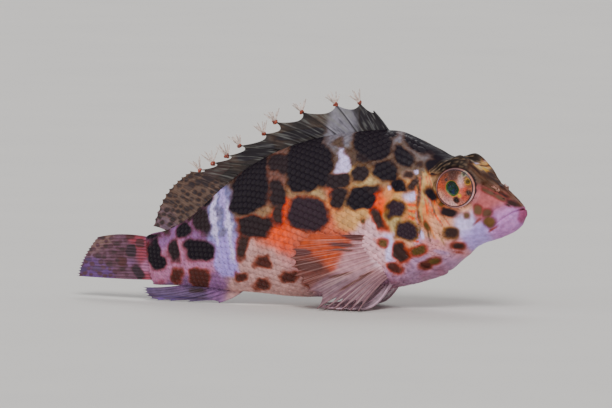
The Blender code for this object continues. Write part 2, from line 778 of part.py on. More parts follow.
def eye(side, name):
    behind, out, up = EYE_PLACE
    centre = Vector((-behind, side * out, up)) * MM
    return ellipsoid(name, centre, [radius * MM for radius in EYE_RADII], EYE_SEGMENTS, EYE_RINGS)


def paint(obj, colour, roughness):
    material = bpy.data.materials.new(obj.name)
    material.use_nodes = True
    shader = material.node_tree.nodes["Principled BSDF"]
    shader.inputs["Base Color"].default_value = (*colour, 1.0)
    shader.inputs["Roughness"].default_value = roughness
    shader.inputs["Metallic"].default_value = 0.0
    obj.data.materials.clear()
    obj.data.materials.append(material)


def centre_over_origin(parts):
    corners = [vert.co for part in parts for vert in part.data.vertices]
    middle = Vector((
        (min(point.x for point in corners) + max(point.x for point in corners)) / 2,
        (min(point.y for point in corners) + max(point.y for point in corners)) / 2,
        0,
    ))
    for part in parts:
        for vert in part.data.vertices:
            vert.co -= middle
        part.data.update()


def build_fish():
    chance = random.Random(SEED)
    body = whole_body()
    grown = body_mesh("grown_body", GAP)
    pieces = closed_pieces(body)[:3]
    pieces.sort(key=lambda piece: -max(vert.co.x for vert in piece.verts))
    bpy.data.objects.remove(body)
    parts = [object_from(piece, name) for piece, name in zip(pieces, ("head", "torso", "tail"))]
    parts += dorsal_fins(grown, chance)
    parts.append(anal_fin(grown))
    parts.append(caudal_fin(grown))
    for side, word in ((-1, "right"), (1, "left")):
        parts.append(pectoral_fin(side, f"pectoral_fin_{word}", grown))
        parts.append(pelvic_fin(side, f"pelvic_fin_{word}", grown))
        parts.append(eye(side, f"eye_{word}"))
    bpy.data.objects.remove(grown)
    for part in parts:
        pose(part)
        if min(vert.co.z for vert in part.data.vertices) < 0:
            flatten_on_floor(part)
            keep_largest(part)
    centre_over_origin(parts)
    home = new_collection("coral_hawkfish")
    for part in parts:
        for old in list(part.users_collection):
            old.objects.unlink(part)
        home.objects.link(part)
        part.data.shade_smooth()
        if part.name.startswith("eye"):
            paint(part, (0.75, 0.30, 0.12), 0.1)
        elif "fin" in part.name:
            paint(part, (0.55, 0.26, 0.20), 0.45)
        else:
            paint(part, (0.60, 0.27, 0.20), 0.4)
    return parts


clear_scene()
MIDLINE = midline()
TRUNK_POINT = MIDLINE[int(38.0 * MM / BEND_STEP)]
MIDLINE = [point - Vector((0, TRUNK_POINT.y, 0)) for point in MIDLINE]
build_fish()
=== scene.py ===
# A coral hawkfish propped on its fins: the looks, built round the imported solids.
import math
import random

import bmesh
import bpy
import numpy as np
from mathutils import Matrix, Vector, noise


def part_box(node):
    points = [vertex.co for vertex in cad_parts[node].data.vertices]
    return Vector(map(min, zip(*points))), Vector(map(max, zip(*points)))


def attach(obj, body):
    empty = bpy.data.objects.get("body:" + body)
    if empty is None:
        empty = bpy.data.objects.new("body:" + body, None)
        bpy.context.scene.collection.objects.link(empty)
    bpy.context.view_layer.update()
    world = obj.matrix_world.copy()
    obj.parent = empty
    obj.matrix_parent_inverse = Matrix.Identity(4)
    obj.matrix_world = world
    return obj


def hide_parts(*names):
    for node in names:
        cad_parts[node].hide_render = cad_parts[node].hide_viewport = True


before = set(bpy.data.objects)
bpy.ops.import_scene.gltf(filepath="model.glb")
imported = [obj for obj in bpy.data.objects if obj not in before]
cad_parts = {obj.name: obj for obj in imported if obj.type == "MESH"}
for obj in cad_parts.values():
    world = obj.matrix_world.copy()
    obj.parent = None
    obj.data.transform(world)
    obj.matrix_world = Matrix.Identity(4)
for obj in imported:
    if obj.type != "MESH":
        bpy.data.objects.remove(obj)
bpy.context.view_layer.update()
mm = 0.001
chance = random.Random(7)

# Millimetres in the straight fish: distance behind the snout tip, and height over its level.
# Each line: distance, back, belly, half width, widest height, fullness above and below it.
bodyForm = {
    "lines": [
        (0.0, 0.5, -1.5, 0.75, -0.5, 0.90, 0.90),
        (1.2, 2.0, -3.0, 2.1, -0.2, 0.90, 0.90),
        (2.9, 4.0, -3.9, 2.9, 0.2, 0.88, 0.90),
        (4.5, 5.7, -4.3, 3.5, 0.5, 0.85, 0.90),
        (6.5, 7.9, -4.7, 4.0, 0.8, 0.82, 0.90),
        (8.5, 9.4, -5.0, 4.4, 1.0, 0.80, 0.90),
        (10.5, 10.2, -5.7, 4.8, 1.1, 0.80, 0.90),
        (12.5, 11.1, -7.1, 5.2, 1.2, 0.85, 0.90),
        (15.0, 12.8, -8.5, 5.8, 1.4, 0.95, 0.88),
        (18.0, 14.8, -9.7, 6.4, 1.5, 1.05, 0.86),
        (21.0, 16.5, -10.3, 6.8, 1.5, 1.12, 0.85),
        (24.0, 17.2, -10.6, 7.1, 1.5, 1.18, 0.86),
        (28.0, 17.6, -10.8, 7.3, 1.7, 1.20, 0.90),
        (34.0, 17.7, -10.9, 7.1, 2.2, 1.20, 0.92),
        (40.0, 17.2, -10.6, 6.5, 2.5, 1.20, 0.95),
        (46.0, 15.9, -9.8, 5.7, 2.4, 1.18, 0.98),
        (52.0, 13.6, -8.4, 4.7, 2.0, 1.15, 1.00),
        (58.0, 10.1, -7.2, 3.5, 1.2, 1.10, 1.05),
        (63.0, 7.0, -6.0, 2.6, 0.6, 1.05, 1.05),
        (68.0, 5.1, -5.1, 1.9, 0.1, 1.00, 1.00),
        (72.0, 4.7, -4.6, 1.35, 0.1, 1.00, 1.00),
        (73.2, 4.4, -4.4, 0.90, 0.1, 1.00, 1.00),
    ],
    "swellings": [((10.7, 2.9, 5.2), (5.1, 2.6, 5.1)), ((25.0, 4.4, -5.5), (2.3, 2.3, 4.4))],
    "swellingEdge": 9.0,
    "end": 73.2,
}
fishPose = {
    "pitch": math.radians(8.8),
    "snoutHeight": 18.4,
    "headTurn": math.radians(4.0),
    "headTurnSpan": (14.0, 28.0),
    "tailTurn": math.radians(20.0),
    "tailTurnSpan": (48.0, 86.0),
    "step": 0.5,
    "straightAt": 38.0,
}
# The eye: its place in the solids, and its own middle and radii; the cornea bulges past it by clear
eyeForm = {
    "solid": (10.7, 3.6, 5.2),
    "centre": (10.5, 3.6, 5.42),
    "radii": (4.16, 2.42, 3.98),
    "oval": 1.05,
    "clear": 0.34,
    "corneaInset": 0.12,
    "corneaFrom": 0.12,
}


def eased(value, low, high):
    share = np.clip((np.asarray(value, float) - low) / (high - low), 0.0, 1.0)
    return share * share * (3 - 2 * share)


def bump(value, middle, width):
    return np.exp(-(((value - middle) / width) ** 2))


def tableCurve(rows, at, column):
    # a smooth curve through one column of a table
    table = np.array(rows, float)
    x, y = table[:, 0], table[:, column]
    slope = np.empty_like(y)
    slope[1:-1] = (y[2:] - y[:-2]) / (x[2:] - x[:-2])
    slope[0] = (y[1] - y[0]) / (x[1] - x[0])
    slope[-1] = (y[-1] - y[-2]) / (x[-1] - x[-2])
    at = np.asarray(at, float)
    row = np.clip(np.searchsorted(x, at, side="left") - 1, 0, len(x) - 2)
    span = x[row + 1] - x[row]
    t = np.clip((at - x[row]) / span, 0.0, 1.0)
    return (
        y[row] * (2 * t**3 - 3 * t**2 + 1)
        + slope[row] * span * (t**3 - 2 * t**2 + t)
        + y[row + 1] * (3 * t**2 - 2 * t**3)
        + slope[row + 1] * span * (t**3 - t**2)
    )


def smoothLine(line, steps):
    rows = [(place, *pair) for place, pair in enumerate(line)]
    at = np.linspace(0, len(line) - 1, steps + 1)
    return np.stack([tableCurve(rows, at, 1), tableCurve(rows, at, 2)], 1)


def bodyLine(behind, column):
    return tableCurve(bodyForm["lines"], behind, column)


def swollen(points):
    # pushes points out of the orbits and the bases of the pectoral fins
    side = np.where(points[..., 1] >= 0, 1.0, -1.0)
    edge = bodyForm["swellingEdge"]
    for (behind, out, up), radii in bodyForm["swellings"]:
        centre = np.stack([np.full_like(side, -behind), side * out, np.full_like(side, up)], -1)
        offset = points - centre
        scaled = offset / np.array(radii)
        reach = np.maximum(np.linalg.norm(scaled, axis=-1), 0.05)
        push = (1 + reach**-edge) ** (1 / edge)
        inside = side * scaled[..., 1] > -0.9
        points = np.where(inside[..., None], centre + offset * push[..., None], points)
    return points


def skinPoint(behind, turn):
    # a point of the body's surface, by its distance behind the snout and its turn round the section
    back, belly, halfWidth, widest, crown, keel = (bodyLine(behind, i) for i in range(1, 7))
    across, up = np.cos(turn), np.sin(turn)
    power = np.where(up > 0, crown, keel)
    reach = np.where(up > 0, back - widest, widest - belly)
    y = np.copysign(np.abs(across) ** power, across) * halfWidth
    return swollen(np.stack([-behind, y, widest + up * reach], -1))


def skinNormal(behind, turn):
    along = skinPoint(behind + 0.05, turn) - skinPoint(behind - 0.05, turn)
    around = skinPoint(behind, turn + 0.01) - skinPoint(behind, turn - 0.01)
    normal = np.cross(along, around)
    return normal / np.maximum(np.linalg.norm(normal, axis=-1, keepdims=True), 1e-9)


def flank(behind, height):
    # half width of the body at a height
    back, belly, halfWidth, widest, crown, keel = (bodyLine(behind, i) for i in range(1, 7))
    end = np.where(height > widest, back, belly)
    power = np.where(height > widest, crown, keel)
    share = np.minimum(np.abs((height - widest) / (end - widest)), 1.0)
    return halfWidth * np.sqrt(1 - share**2) ** power


def turnAt(behind):
    head = fishPose["headTurn"] * (1 - eased(behind, *fishPose["headTurnSpan"]))
    return head + fishPose["tailTurn"] * eased(behind, *fishPose["tailTurnSpan"])


def bentMidline():
    step = fishPose["step"]
    turn = turnAt((np.arange(200) + 0.5) * step)
    strides = np.stack([-np.cos(turn), np.sin(turn)], 1) * step
    line = np.vstack([[0.0, 0.0], np.cumsum(strides, 0)])
    line[:, 1] -= line[int(fishPose["straightAt"] / step), 1]
    return line


midline = bentMidline()


def bentPlace(behind):
    place = np.asarray(behind, float) / fishPose["step"]
    low = np.clip(np.floor(place).astype(int), 0, len(midline) - 2)
    return midline[low] + (midline[low + 1] - midline[low]) * (place - low)[..., None]


def pitchedUp(points):
    # the straight fish bent along its midline and pitched up, in millimetres
    behind, turn = -points[..., 0], turnAt(-points[..., 0])
    centre = bentPlace(behind)
    ahead = centre[..., 0] + np.sin(turn) * points[..., 1]
    across = centre[..., 1] + np.cos(turn) * points[..., 1]
    up = points[..., 2]
    cosine, sine = math.cos(fishPose["pitch"]), math.sin(fishPose["pitch"])
    high = fishPose["snoutHeight"] + ahead * sine + up * cosine
    return np.stack([ahead * cosine - up * sine, across, high], -1)


# The solids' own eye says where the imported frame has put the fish
eyeLow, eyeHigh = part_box("eye_right")
eyeMiddle = np.array((eyeLow + eyeHigh) / 2) / mm
solidBehind, solidOut, solidUp = eyeForm["solid"]
frameShift = eyeMiddle - pitchedUp(np.array([-solidBehind, -solidOut, solidUp]))
frameShift[2] = 0.0
behindEye, outEye, upEye = eyeForm["centre"]


def eyeRing(back, high):
    # distance from the middle of an eye that is a little longer than high
    return np.hypot(back / eyeForm["oval"], high)


def posed(points):
    return (pitchedUp(np.asarray(points, float)) + frameShift) * mm


def heightOverFloor(behind, over):
    # the straight fish's height that comes this far over the floor once it is posed
    along = bentPlace(behind)[..., 0]
    level = over - fishPose["snoutHeight"] - along * math.sin(fishPose["pitch"])
    return level / math.cos(fishPose["pitch"])


print("frame: straight fish matches the solids, shift", np.round(frameShift, 3))

# The photograph's view: its pixels, millimetres a pixel at the fish, and the camera's yaw and rise
photoView = {
    "size": (612, 408),
    "snout": (523, 209),
    "mmPerPixel": 0.1778,
    "yaw": math.radians(20.0),
    "rise": math.radians(4.0),
    "lens": 800.0,
}


def viewAxes():
    yaw, rise = photoView["yaw"], photoView["rise"]
    right = np.array([math.cos(yaw), math.sin(yaw), 0.0])
    back = np.array([math.sin(yaw) * math.cos(rise), -math.cos(yaw) * math.cos(rise), math.sin(rise)])
    return right, np.cross(back, right), back


def seenAt(points):
    # pixel where a point of the fish's right side shows, and the left side's mirror image of it
    near = points * np.array([1.0, 0.0, 1.0])
    near[..., 1] = -np.abs(points[..., 1])
    right, up, _ = viewAxes()
    fromSnout = (pitchedUp(near) - pitchedUp(np.zeros(3))) / photoView["mmPerPixel"]
    startX, startY = photoView["snout"]
    return startX + fromSnout @ right, startY - fromSnout @ up


def colour(code):
    # a web colour as linear light, mixed richer because the studio's light fades it
    parts = [int(code[i : i + 2], 16) / 255 for i in (1, 3, 5)]
    light = np.array([c / 12.92 if c <= 0.04045 else ((c + 0.055) / 1.055) ** 2.4 for c in parts])
    grey = float(light @ np.array([0.2126, 0.7152, 0.0722]))
    return np.clip(grey + (light - grey) * paintForm["richer"], 0.002, 0.95) ** paintForm["deeper"]


def opaque(code):
    return (*colour(code), 1)


paintForm = {
    "richer": 1.16,
    "deeper": 1.04,
    "edgeBrown": "#b08a72",
    "square": 2.9,
    "thinDepth": 1.3,
    "wander": [(3.4, 4.6, 3), (1.3, 2.6, 4)],
}
pigments = {
    "nape": "#342b2c", "backBrown": "#57463d", "backTan": "#6c5a4e", "backGrey": "#77727a",
    "backRose": "#7a564e", "sand": "#94745a", "cream": "#d0a070", "straw": "#bfa67c",
    "orange": "#e8582e", "coral": "#cc6c56", "apricot": "#dc9064", "peach": "#dfa488",
    "rose": "#cd9096", "baseRose": "#e6b8c0", "bellyRose": "#c49a96", "rosyLilac": "#ae8aa8",
    "throat": "#94606c", "lilac": "#b6a0dc", "bandLilac": "#ab96dc", "pearl": "#d8caf8",
    "salmon": "#ac6466", "jawLilac": "#bb88bb", "lipWine": "#93506e", "lipBrown": "#76584c",
    "gold": "#c29a52", "goldPale": "#c49c6e", "browBrown": "#655248", "bandViolet": "#7f7aa8",
    "bandShade": "#7c7494", "fawn": "#6a5240", "stalkPink": "#b87e9e", "stalkMauve": "#88628c",
    "stalkRed": "#98424c", "tailMauve": "#684856", "tailTan": "#80665a", "tailViolet": "#5c3e7c",
    "finGrey": "#64526e", "finViolet": "#7558a0", "webGrey": "#84808a", "webDark": "#2c2626",
    "webBrown": "#4a3c34", "softFinTan": "#604c42", "softFinLilac": "#6e5868",
    "finOrange": "#b44c2a", "finRust": "#62332c", "finPink": "#b58890", "finPearl": "#dcc0cc",
    "finLilac": "#785c66",
}
# Soft grounds of the skin, each a pigment with its patches: pixel and radius in pixels
skinGrounds = {
    "nape": [(440, 150, 9), (450, 158, 9)],
    "backBrown": [(290, 138, 22), (246, 160, 20), (378, 134, 16), (238, 150, 12)],
    "backRose": [(277, 152, 8), (268, 176, 7), (278, 178, 6), (236, 168, 6), (264, 200, 6)],
    "backTan": [(402, 150, 12), (418, 160, 10), (352, 152, 7), (210, 182, 12), (250, 215, 9)],
    "backGrey": [
        (338, 132, 10), (396, 142, 7), (424, 156, 6), (352, 124, 8), (404, 131, 6), (412, 151, 6),
    ],
    "sand": [(430, 180, 6), (386, 180, 9), (346, 184, 8), (300, 193, 10), (262, 210, 6), (322, 188, 7)],
    "straw": [(362, 184, 7), (345, 206, 5), (392, 220, 5), (318, 191, 5), (350, 174, 4), (374, 180, 5)],
    "cream": [(344, 216, 7), (360, 218, 6), (420, 190, 8), (352, 188, 4), (396, 195, 5)],
    "orange": [(276, 232, 10), (283, 218, 6), (288, 244, 9), (374, 205, 4.5), (380, 196, 4), (286, 204, 4)],
    "coral": [(318, 236, 14), (300, 246, 12), (266, 240, 7), (330, 190, 4), (326, 222, 4)],
    "apricot": [(330, 207, 5), (412, 208, 7), (426, 214, 8), (388, 192, 5), (436, 204, 6), (340, 212, 6)],
    "peach": [
        (438, 222, 8), (428, 230, 7), (446, 222, 6), (408, 242, 6), (452, 204, 5), (462, 208, 5),
        (440, 238, 6),
    ],
    "rose": [(450, 246, 8), (436, 248, 8), (424, 244, 6), (474, 196, 4), (300, 264, 12), (400, 262, 7)],
    "bellyRose": [(262, 258, 14), (282, 276, 14), (242, 276, 12), (310, 284, 16), (350, 284, 14)],
    "rosyLilac": [(420, 260, 9), (445, 262, 9), (405, 276, 12), (330, 292, 14), (430, 276, 9)],
    "throat": [(426, 275, 7), (440, 270, 7), (400, 286, 8)],
    "lilac": [(480, 230, 8), (470, 232, 7), (415, 236, 5)],
    "baseRose": [(380, 254, 9), (370, 264, 9), (368, 232, 7), (360, 250, 8), (378, 238, 6)],
    "pearl": [(391, 252, 5), (463, 223, 8), (411, 196, 3.5), (382, 240, 4)],
    "salmon": [(486, 203, 9), (496, 203, 8), (480, 195, 6), (478, 218, 4)],
    "jawLilac": [(506, 216, 8), (498, 214, 7), (505, 226, 8), (492, 228, 6)],
    "lipWine": [(521, 214, 3.0), (519, 219, 2.5)],
    "lipBrown": [(512, 195, 4), (500, 187, 5), (519, 203, 2.5)],
    "browBrown": [(486, 178, 7), (476, 173, 5), (462, 160, 7), (492, 172, 5)],
    "bandViolet": [(220, 200, 8), (222, 225, 8)],
    "bandLilac": [(226, 252, 9)],
    "stalkPink": [(186, 264, 10), (160, 276, 7), (178, 246, 7), (200, 264, 8), (152, 264, 6)],
    "stalkMauve": [
        (127, 264, 4), (168, 236, 7), (178, 284, 8), (190, 236, 6), (160, 232, 6), (192, 206, 5),
        (215, 285, 8),
    ],
    "stalkRed": [(142, 254, 5), (137, 247, 4), (148, 278, 3.5), (132, 238, 4), (160, 282, 3)],
    "tailMauve": [(122, 255, 9), (110, 256, 10), (128, 272, 6), (118, 240, 6)],
    "tailTan": [(84, 246, 10), (102, 240, 7)],
    "tailViolet": [(90, 266, 8), (78, 268, 8), (104, 270, 5)],
    "finGrey": [(172, 292, 10), (190, 293, 10), (152, 292, 7)],
    "finViolet": [(160, 301, 3.0), (150, 287, 2.0), (172, 301, 2.5)],
}
# Pale marks are laid into the ground: pixel, half width and height, clockwise tilt, pigment, edge
lightMarks = {
    "wedge": [
        (341.5, 167.5, 6.4, 4.6, 0, "pearl", 3.4), (342.5, 160.5, 3.8, 7.0, 4, "pearl", 3.0),
        (343.5, 151, 1.8, 8, 6, "pearl", 2.0),
        (336, 127, 9, 4.5, 8, "backGrey", 2.5), (351, 138, 2.2, 10, 12, "backGrey", 2.0),
        (346, 142, 1.6, 8, 16, "backGrey", 1.5), (356, 150, 1.8, 8, -6, "backTan", 1.5),
    ],
    "band": [
        (221, 214, 10, 33, -6, "bandViolet", 2.5), (225, 257, 12.0, 21, -4, "bandLilac", 3.0),
        (214.5, 210, 2.4, 26, 0, "pearl", 1.4), (222.5, 196, 2.4, 12, -6, "lilac", 1.3),
        (229, 224, 2.6, 22, -7, "pearl", 1.5), (213.5, 192, 3.6, 9, -6, "pearl", 1.5),
        (224.5, 214, 1.6, 12, -3, "lilac", 1.2), (217, 236, 1.6, 9, 0, "pearl", 1.2),
        (218.5, 212, 1.8, 8, 0, "bandShade", 1.5), (223.5, 233, 3.0, 6.0, 0, "bandShade", 2.2),
        (232, 250, 1.6, 12, -6, "pearl", 2.0), (219, 256, 1.4, 10, 0, "lilac", 1.5),
    ],
    "flecks": [
        (389, 188.5, 2.6, 2.2, 0, "pearl", 1.4), (412, 195, 2.6, 5.0, 0, "pearl", 1.4),
        (415.5, 172.5, 2.4, 2.6, 0, "pearl", 1.4), (391, 254, 5, 7, 0, "pearl", 3.0),
        (464, 223, 7.0, 6, 10, "pearl", 3.0), (398, 138, 3.0, 9, -18, "backGrey", 1.8),
        (436, 154, 3.5, 2.0, 20, "backGrey", 1.5), (388, 243, 5, 10, 8, "pearl", 3.5),
        (396, 168, 1.6, 9, -20, "backTan", 1.2), (402, 147, 7, 1.6, 30, "backTan", 1.2),
        (380, 159, 14, 1.5, -14, "backTan", 1.2), (424, 184, 1.8, 13, 4, "straw", 1.6),
        (419, 188, 1.5, 13, 6, "backTan", 1.4), (428, 178, 1.4, 9, -4, "cream", 1.4),
        (432, 240, 7, 2.0, 8, "rose", 1.6), (441, 252, 8, 2.0, 12, "rosyLilac", 1.6),
    ],
    "brow": [
        # the gold patch is the fish's own colour; the small pearl spot at (474, 162) on it is a painted
        # highlight
        (477, 164.5, 7.5, 3.4, 42, "goldPale", 1.0), (474, 162, 3.0, 1.6, 40, "pearl", 0.8),
        (479, 167.5, 2.4, 1.2, 42, "straw", 0.8), (482, 166, 3.4, 1.0, 48, "straw", 0.8),
        (484, 170, 4, 1.1, 45, "gold", 0.9), (472, 156.5, 4, 1.2, 5, "sand", 1.2),
        (480, 158.5, 3.0, 1.6, 10, "straw", 1.0), (487, 163, 2.2, 1.2, 60, "straw", 1.0),
    ],
    "cheekLines": [
        (425, 206, 0.9, 9, -18, "orange", 1.0), (430, 210, 0.9, 9, -26, "coral", 1.0),
        (436, 216, 0.9, 9, -34, "orange", 1.0), (442, 226, 0.9, 7, -24, "coral", 1.0),
        (424, 222, 0.8, 7, -14, "coral", 1.0), (433, 200, 0.8, 6, -20, "orange", 1.0),
    ],
    "opercleEdge": [
        (421, 205, 1.3, 9, -4, "cream", 1.0), (421, 233, 1.5, 6, -24, "pearl", 1.2),
    ],
}
# A comb of short bars down the cheek's hind edge: pixels of its top and foot, and its bars
cheekBars = {"from": (411.5, 204), "to": (415, 240), "count": 11, "half": (4.0, 1.25), "tilt": 8}
for number in range(cheekBars["count"]):
    down = number / (cheekBars["count"] - 1)
    barX, barY = (a + (b - a) * down for a, b in zip(cheekBars["from"], cheekBars["to"]))
    paint = "cream" if number % 2 else "orange"
    lightMarks["opercleEdge"].append((barX, barY, *cheekBars["half"], cheekBars["tilt"], paint, 0.9))
# Fine streaks down the cheek, strewn over a box of pixels and leaning forward lower down
cheekStreaks = {
    "count": 46, "box": (414, 176, 447, 240), "half": (0.55, 0.85), "long": (3.5, 8.0),
    "paints": ("cream", "coral", "backTan", "straw", "apricot", "rose", "sand"),
}
lightMarks["streaks"] = []
for number in range(cheekStreaks["count"]):
    low, high = cheekStreaks["box"][:2], cheekStreaks["box"][2:]
    streakX, streakY = chance.uniform(low[0], high[0]), chance.uniform(low[1], high[1])
    wide, tall = chance.uniform(*cheekStreaks["half"]), chance.uniform(*cheekStreaks["long"])
    tilt = -4 - 0.9 * (streakX - low[0]) + chance.uniform(-4, 4)
    paint = cheekStreaks["paints"][number % len(cheekStreaks["paints"])]
    lightMarks["streaks"].append((streakX, streakY, wide, tall, tilt, paint, 1.3))
# Dark blotches: pixel, half width and height, clockwise tilt, colour, rim
markColours = {
    "black": "#1e181f", "brown": "#3c2c2a", "umber": "#2c2225", "olive": "#5a472c",
    "rusty": "#4e2c28", "red": "#8e4a40", "violet": "#46365c", "umberTan": "#62493c",
    "tailSpot": "#50343c", "plum": "#522c2c", "umberViolet": "#33262e", "oliveTan": "#6a5036",
    # the mouth colour is painted shade: a dark line laid in the slit between the lips
    "mouth": "#3c2028",
}
rimColours = {
    "olive": ("#8c7448", 2.4), "orange": ("#c45c3a", 2.4), "pale": ("#a49088", 1.6),
    "rust": ("#9a5642", 2.2), "hot": ("#cc5434", 2.6),
}
skinMarks = {
    "shoulder": [
        (373, 143.5, 18.5, 15.5, -6, "black", ""), (384, 131, 13, 8, 10, "black", ""),
        (415, 141.5, 15, 7.5, 36, "black", ""), (403, 156.5, 10.5, 7.5, 32, "black", ""),
        (385, 171, 13.5, 9.6, 5, "black", ""), (393, 177, 5.5, 4.5, 0, "black", ""),
        (360, 174.5, 9, 8, 0, "umber", ""), (399.5, 186.5, 8.5, 7, 0, "black", ""),
        (408, 174, 4.4, 4.0, 0, "brown", "pale"), (413, 184, 6.5, 3.6, -60, "brown", ""),
        (430, 151, 6, 3.4, 35, "umber", ""), (419, 164, 3.5, 3, 0, "brown", ""),
        (361, 160, 9, 5, 10, "umber", ""),
    ],
    "saddle": [
        (309.5, 162, 22.5, 25, -2, "black", ""), (303, 181, 15, 10.5, -8, "black", ""),
        (322, 172, 10, 14, 0, "black", ""), (308, 138, 19, 11, 4, "black", ""),
        (279, 163.5, 10.5, 8.5, 0, "umber", ""), (283, 140, 14, 6, -10, "umber", ""),
        (339, 179, 11.5, 7.5, 0, "umber", ""), (338, 198, 8.2, 13, 0, "umber", ""),
        (361, 199, 15, 12.5, 0, "black", ""), (371, 190, 9, 5, -8, "umber", ""),
        (307.5, 213, 19, 16, 0, "umberViolet", "rust"), (276.5, 196, 8, 16, 0, "umber", ""),
        (277.5, 213, 5.5, 13, 0, "brown", ""), (340, 143, 5.5, 4.5, 0, "backBrown", ""),
        (352, 158, 5, 7, -20, "backBrown", ""), (262, 146, 12, 4.5, -18, "umber", ""),
    ],
    "flankRear": [
        (250, 190, 18.5, 19, 0, "black", ""), (254, 170, 14, 14, -4, "black", ""),
        (243, 201, 14, 12, 0, "black", ""), (255, 226, 16.5, 10, -4, "umber", "rust"),
        (228, 172, 10, 8, -30, "umber", ""), (236, 157, 10, 5, -24, "umber", ""),
    ],
    "belly": [
        (242, 246, 5, 12, 6, "brown", "rust"), (263, 262, 8, 6, 8, "rusty", "rust"),
        (289, 276, 8, 5.5, -5, "rusty", "rust"), (262, 284, 7, 5, 0, "rusty", "rust"),
        (315, 282, 8, 5, 0, "rusty", "rust"), (240, 276, 6, 5, 0, "rusty", "rust"),
        (340, 288, 7, 4, 0, "rusty", "rust"), (372, 280, 6, 4, 10, "rusty", "rust"),
    ],
    "ringed": [
        (395.5, 208.5, 10.2, 8.4, 0, "umberViolet", "olive"),
        (406, 230.5, 10.2, 8.0, 0, "umberViolet", "olive"),
        (378.5, 218, 10.5, 4.4, 62, "brown", "hot"), (362.5, 223.5, 3, 4.2, 0, "olive", ""),
        (381, 243, 4.6, 3.8, 0, "oliveTan", "hot"), (450, 233.2, 6.6, 5.4, 0, "brown", "olive"),
        (401.5, 252.5, 8.2, 6.4, 62, "brown", "orange"), (417.5, 250, 8, 5, -14, "olive", "orange"),
        (394.5, 267, 7.5, 4.4, 22, "rusty", "orange"), (433.5, 261, 5.8, 3.4, -12, "olive", "rust"),
        (425, 265.5, 5.5, 3.4, 0, "rusty", "rust"),
    ],
    "cheek": [
        (430, 194.5, 8, 4.6, 52, "black", ""), (448, 212, 9.8, 4.4, 12, "umber", ""),
        (457, 245.5, 6.2, 3.0, 4, "brown", "rust"), (457, 252, 4.0, 1.0, 4, "red", ""),
        (465.5, 215.5, 3.2, 3.2, 0, "fawn", ""), (477, 210, 4.2, 4.8, 0, "fawn", ""),
        (486, 212.5, 4.8, 4.0, 0, "umberTan", ""), (488, 221.5, 6.2, 5.2, 25, "oliveTan", ""),
        (492, 228.5, 3.4, 0.8, -35, "red", ""), (476, 221, 3.4, 0.8, -40, "red", ""),
        (419, 216, 8, 1.0, 80, "umberTan", ""), (417.5, 198, 1.2, 8, 4, "umberTan", ""),
        (441, 204, 3.5, 2, -20, "olive", ""), (426, 226, 2.4, 5, -25, "olive", ""),
    ],
    "crown": [
        (434, 167, 8.5, 8.5, -10, "black", ""), (444, 157, 13, 6, 14, "black", ""),
        (426, 147, 16, 4.5, 30, "black", ""), (464, 155.5, 15, 2.6, 4, "black", ""),
        (455, 165, 12, 3.4, 6, "umber", ""), (464, 161, 11, 1.2, 10, "umber", ""),
        (479, 176, 10, 1.2, 40, "umberTan", ""), (474, 169.5, 8, 1.0, 40, "umber", ""),
        (494, 181, 12, 1.4, 30, "brown", ""), (490, 170, 9, 4.2, 62, "brown", ""),
        (486, 160, 5, 2.0, 30, "umber", ""),
        (489, 192.5, 8, 2.2, 26, "umberTan", ""), (499, 197.5, 7, 2.2, 26, "umberTan", ""),
        (493, 193.5, 4, 1.2, 20, "brown", ""), (502, 198.5, 3, 1.4, 30, "brown", ""),
        (490, 187.5, 9, 1.5, 30, "umberTan", ""),
        (483, 190, 3, 1.6, 30, "umberTan", ""), (498, 192, 4, 1.4, 40, "brown", ""),
        (511, 203.3, 6.6, 2.8, 24, "brown", ""), (503, 195, 6, 1.6, 34, "brown", ""),
        # the mouth row is painted shade in the slit between the lips at the snout
        (521.2, 209.6, 2.6, 0.5, -14, "mouth", ""), (507, 205, 3, 1.2, 24, "brown", ""),
        (515, 196, 8, 1.0, 44, "umber", ""), (486, 161, 5, 1.4, 30, "umber", ""),
        (500, 186, 8, 1.2, 38, "umber", ""),
    ],
    "tailStalk": [
        (200, 196, 12, 9, -38, "black", ""), (202, 221, 8.5, 14, -6, "umber", ""),
        (199, 250, 13.5, 10, 0, "black", ""), (199, 277, 9.4, 9, 0, "rusty", "rust"),
        (183, 230, 8.4, 8.8, 0, "black", ""), (180, 216, 9.5, 5.2, -42, "black", ""),
        (191.5, 215.5, 3.2, 5.6, 0, "brown", ""), (173.5, 251, 6.2, 10.8, 4, "umber", ""),
        (176, 275, 5.0, 7.0, 0, "rusty", "rust"), (154, 254, 7.4, 15, -8, "black", ""),
        (157, 262, 7.0, 8, 0, "black", ""), (151.5, 237, 9, 3.8, -6, "black", ""),
        (158.5, 224, 3.2, 5.6, 0, "brown", ""), (165.5, 229, 2.8, 5.4, 0, "brown", ""),
        (168, 214, 3, 5, -20, "brown", ""),
    ],
    "caudalBase": [
        (130, 251, 5.4, 6.6, 0, "umber", ""), (137.5, 272.5, 8.4, 4.6, 48, "umber", ""),
        (139.5, 244, 4.2, 4.4, 0, "rusty", ""), (129, 237, 4.5, 2.4, 0, "rusty", ""),
        (121, 262, 4.5, 5, 0, "rusty", ""),
    ],
}


def shiftedMarks(marks, amount):
    # the left side's own version of the right side's blotches
    moved = []
    for x, y, wide, tall, tilt, kind, rim in marks:
        away = (chance.uniform(-amount, amount), chance.uniform(-amount, amount) * 0.7)
        size = chance.uniform(0.88, 1.12)
        moved.append((x + away[0], y + away[1], wide * size, tall * size, -tilt, kind, rim))
    return moved


def inBlotch(x, y, mark):
    # millimetres inside a blotch's edge, negative outside it
    startX, startY, wide, tall, tilt = mark[:5]
    turn = math.radians(tilt)
    along = ((x - startX) * math.cos(turn) + (y - startY) * math.sin(turn)) / wide
    across = ((y - startY) * math.cos(turn) - (x - startX) * math.sin(turn)) / tall
    power = paintForm["square"]
    reach = (np.abs(along) ** power + np.abs(across) ** power) ** (1 / power)
    return (1 - reach) * (min(wide, tall) + paintForm["thinDepth"]) * photoView["mmPerPixel"]


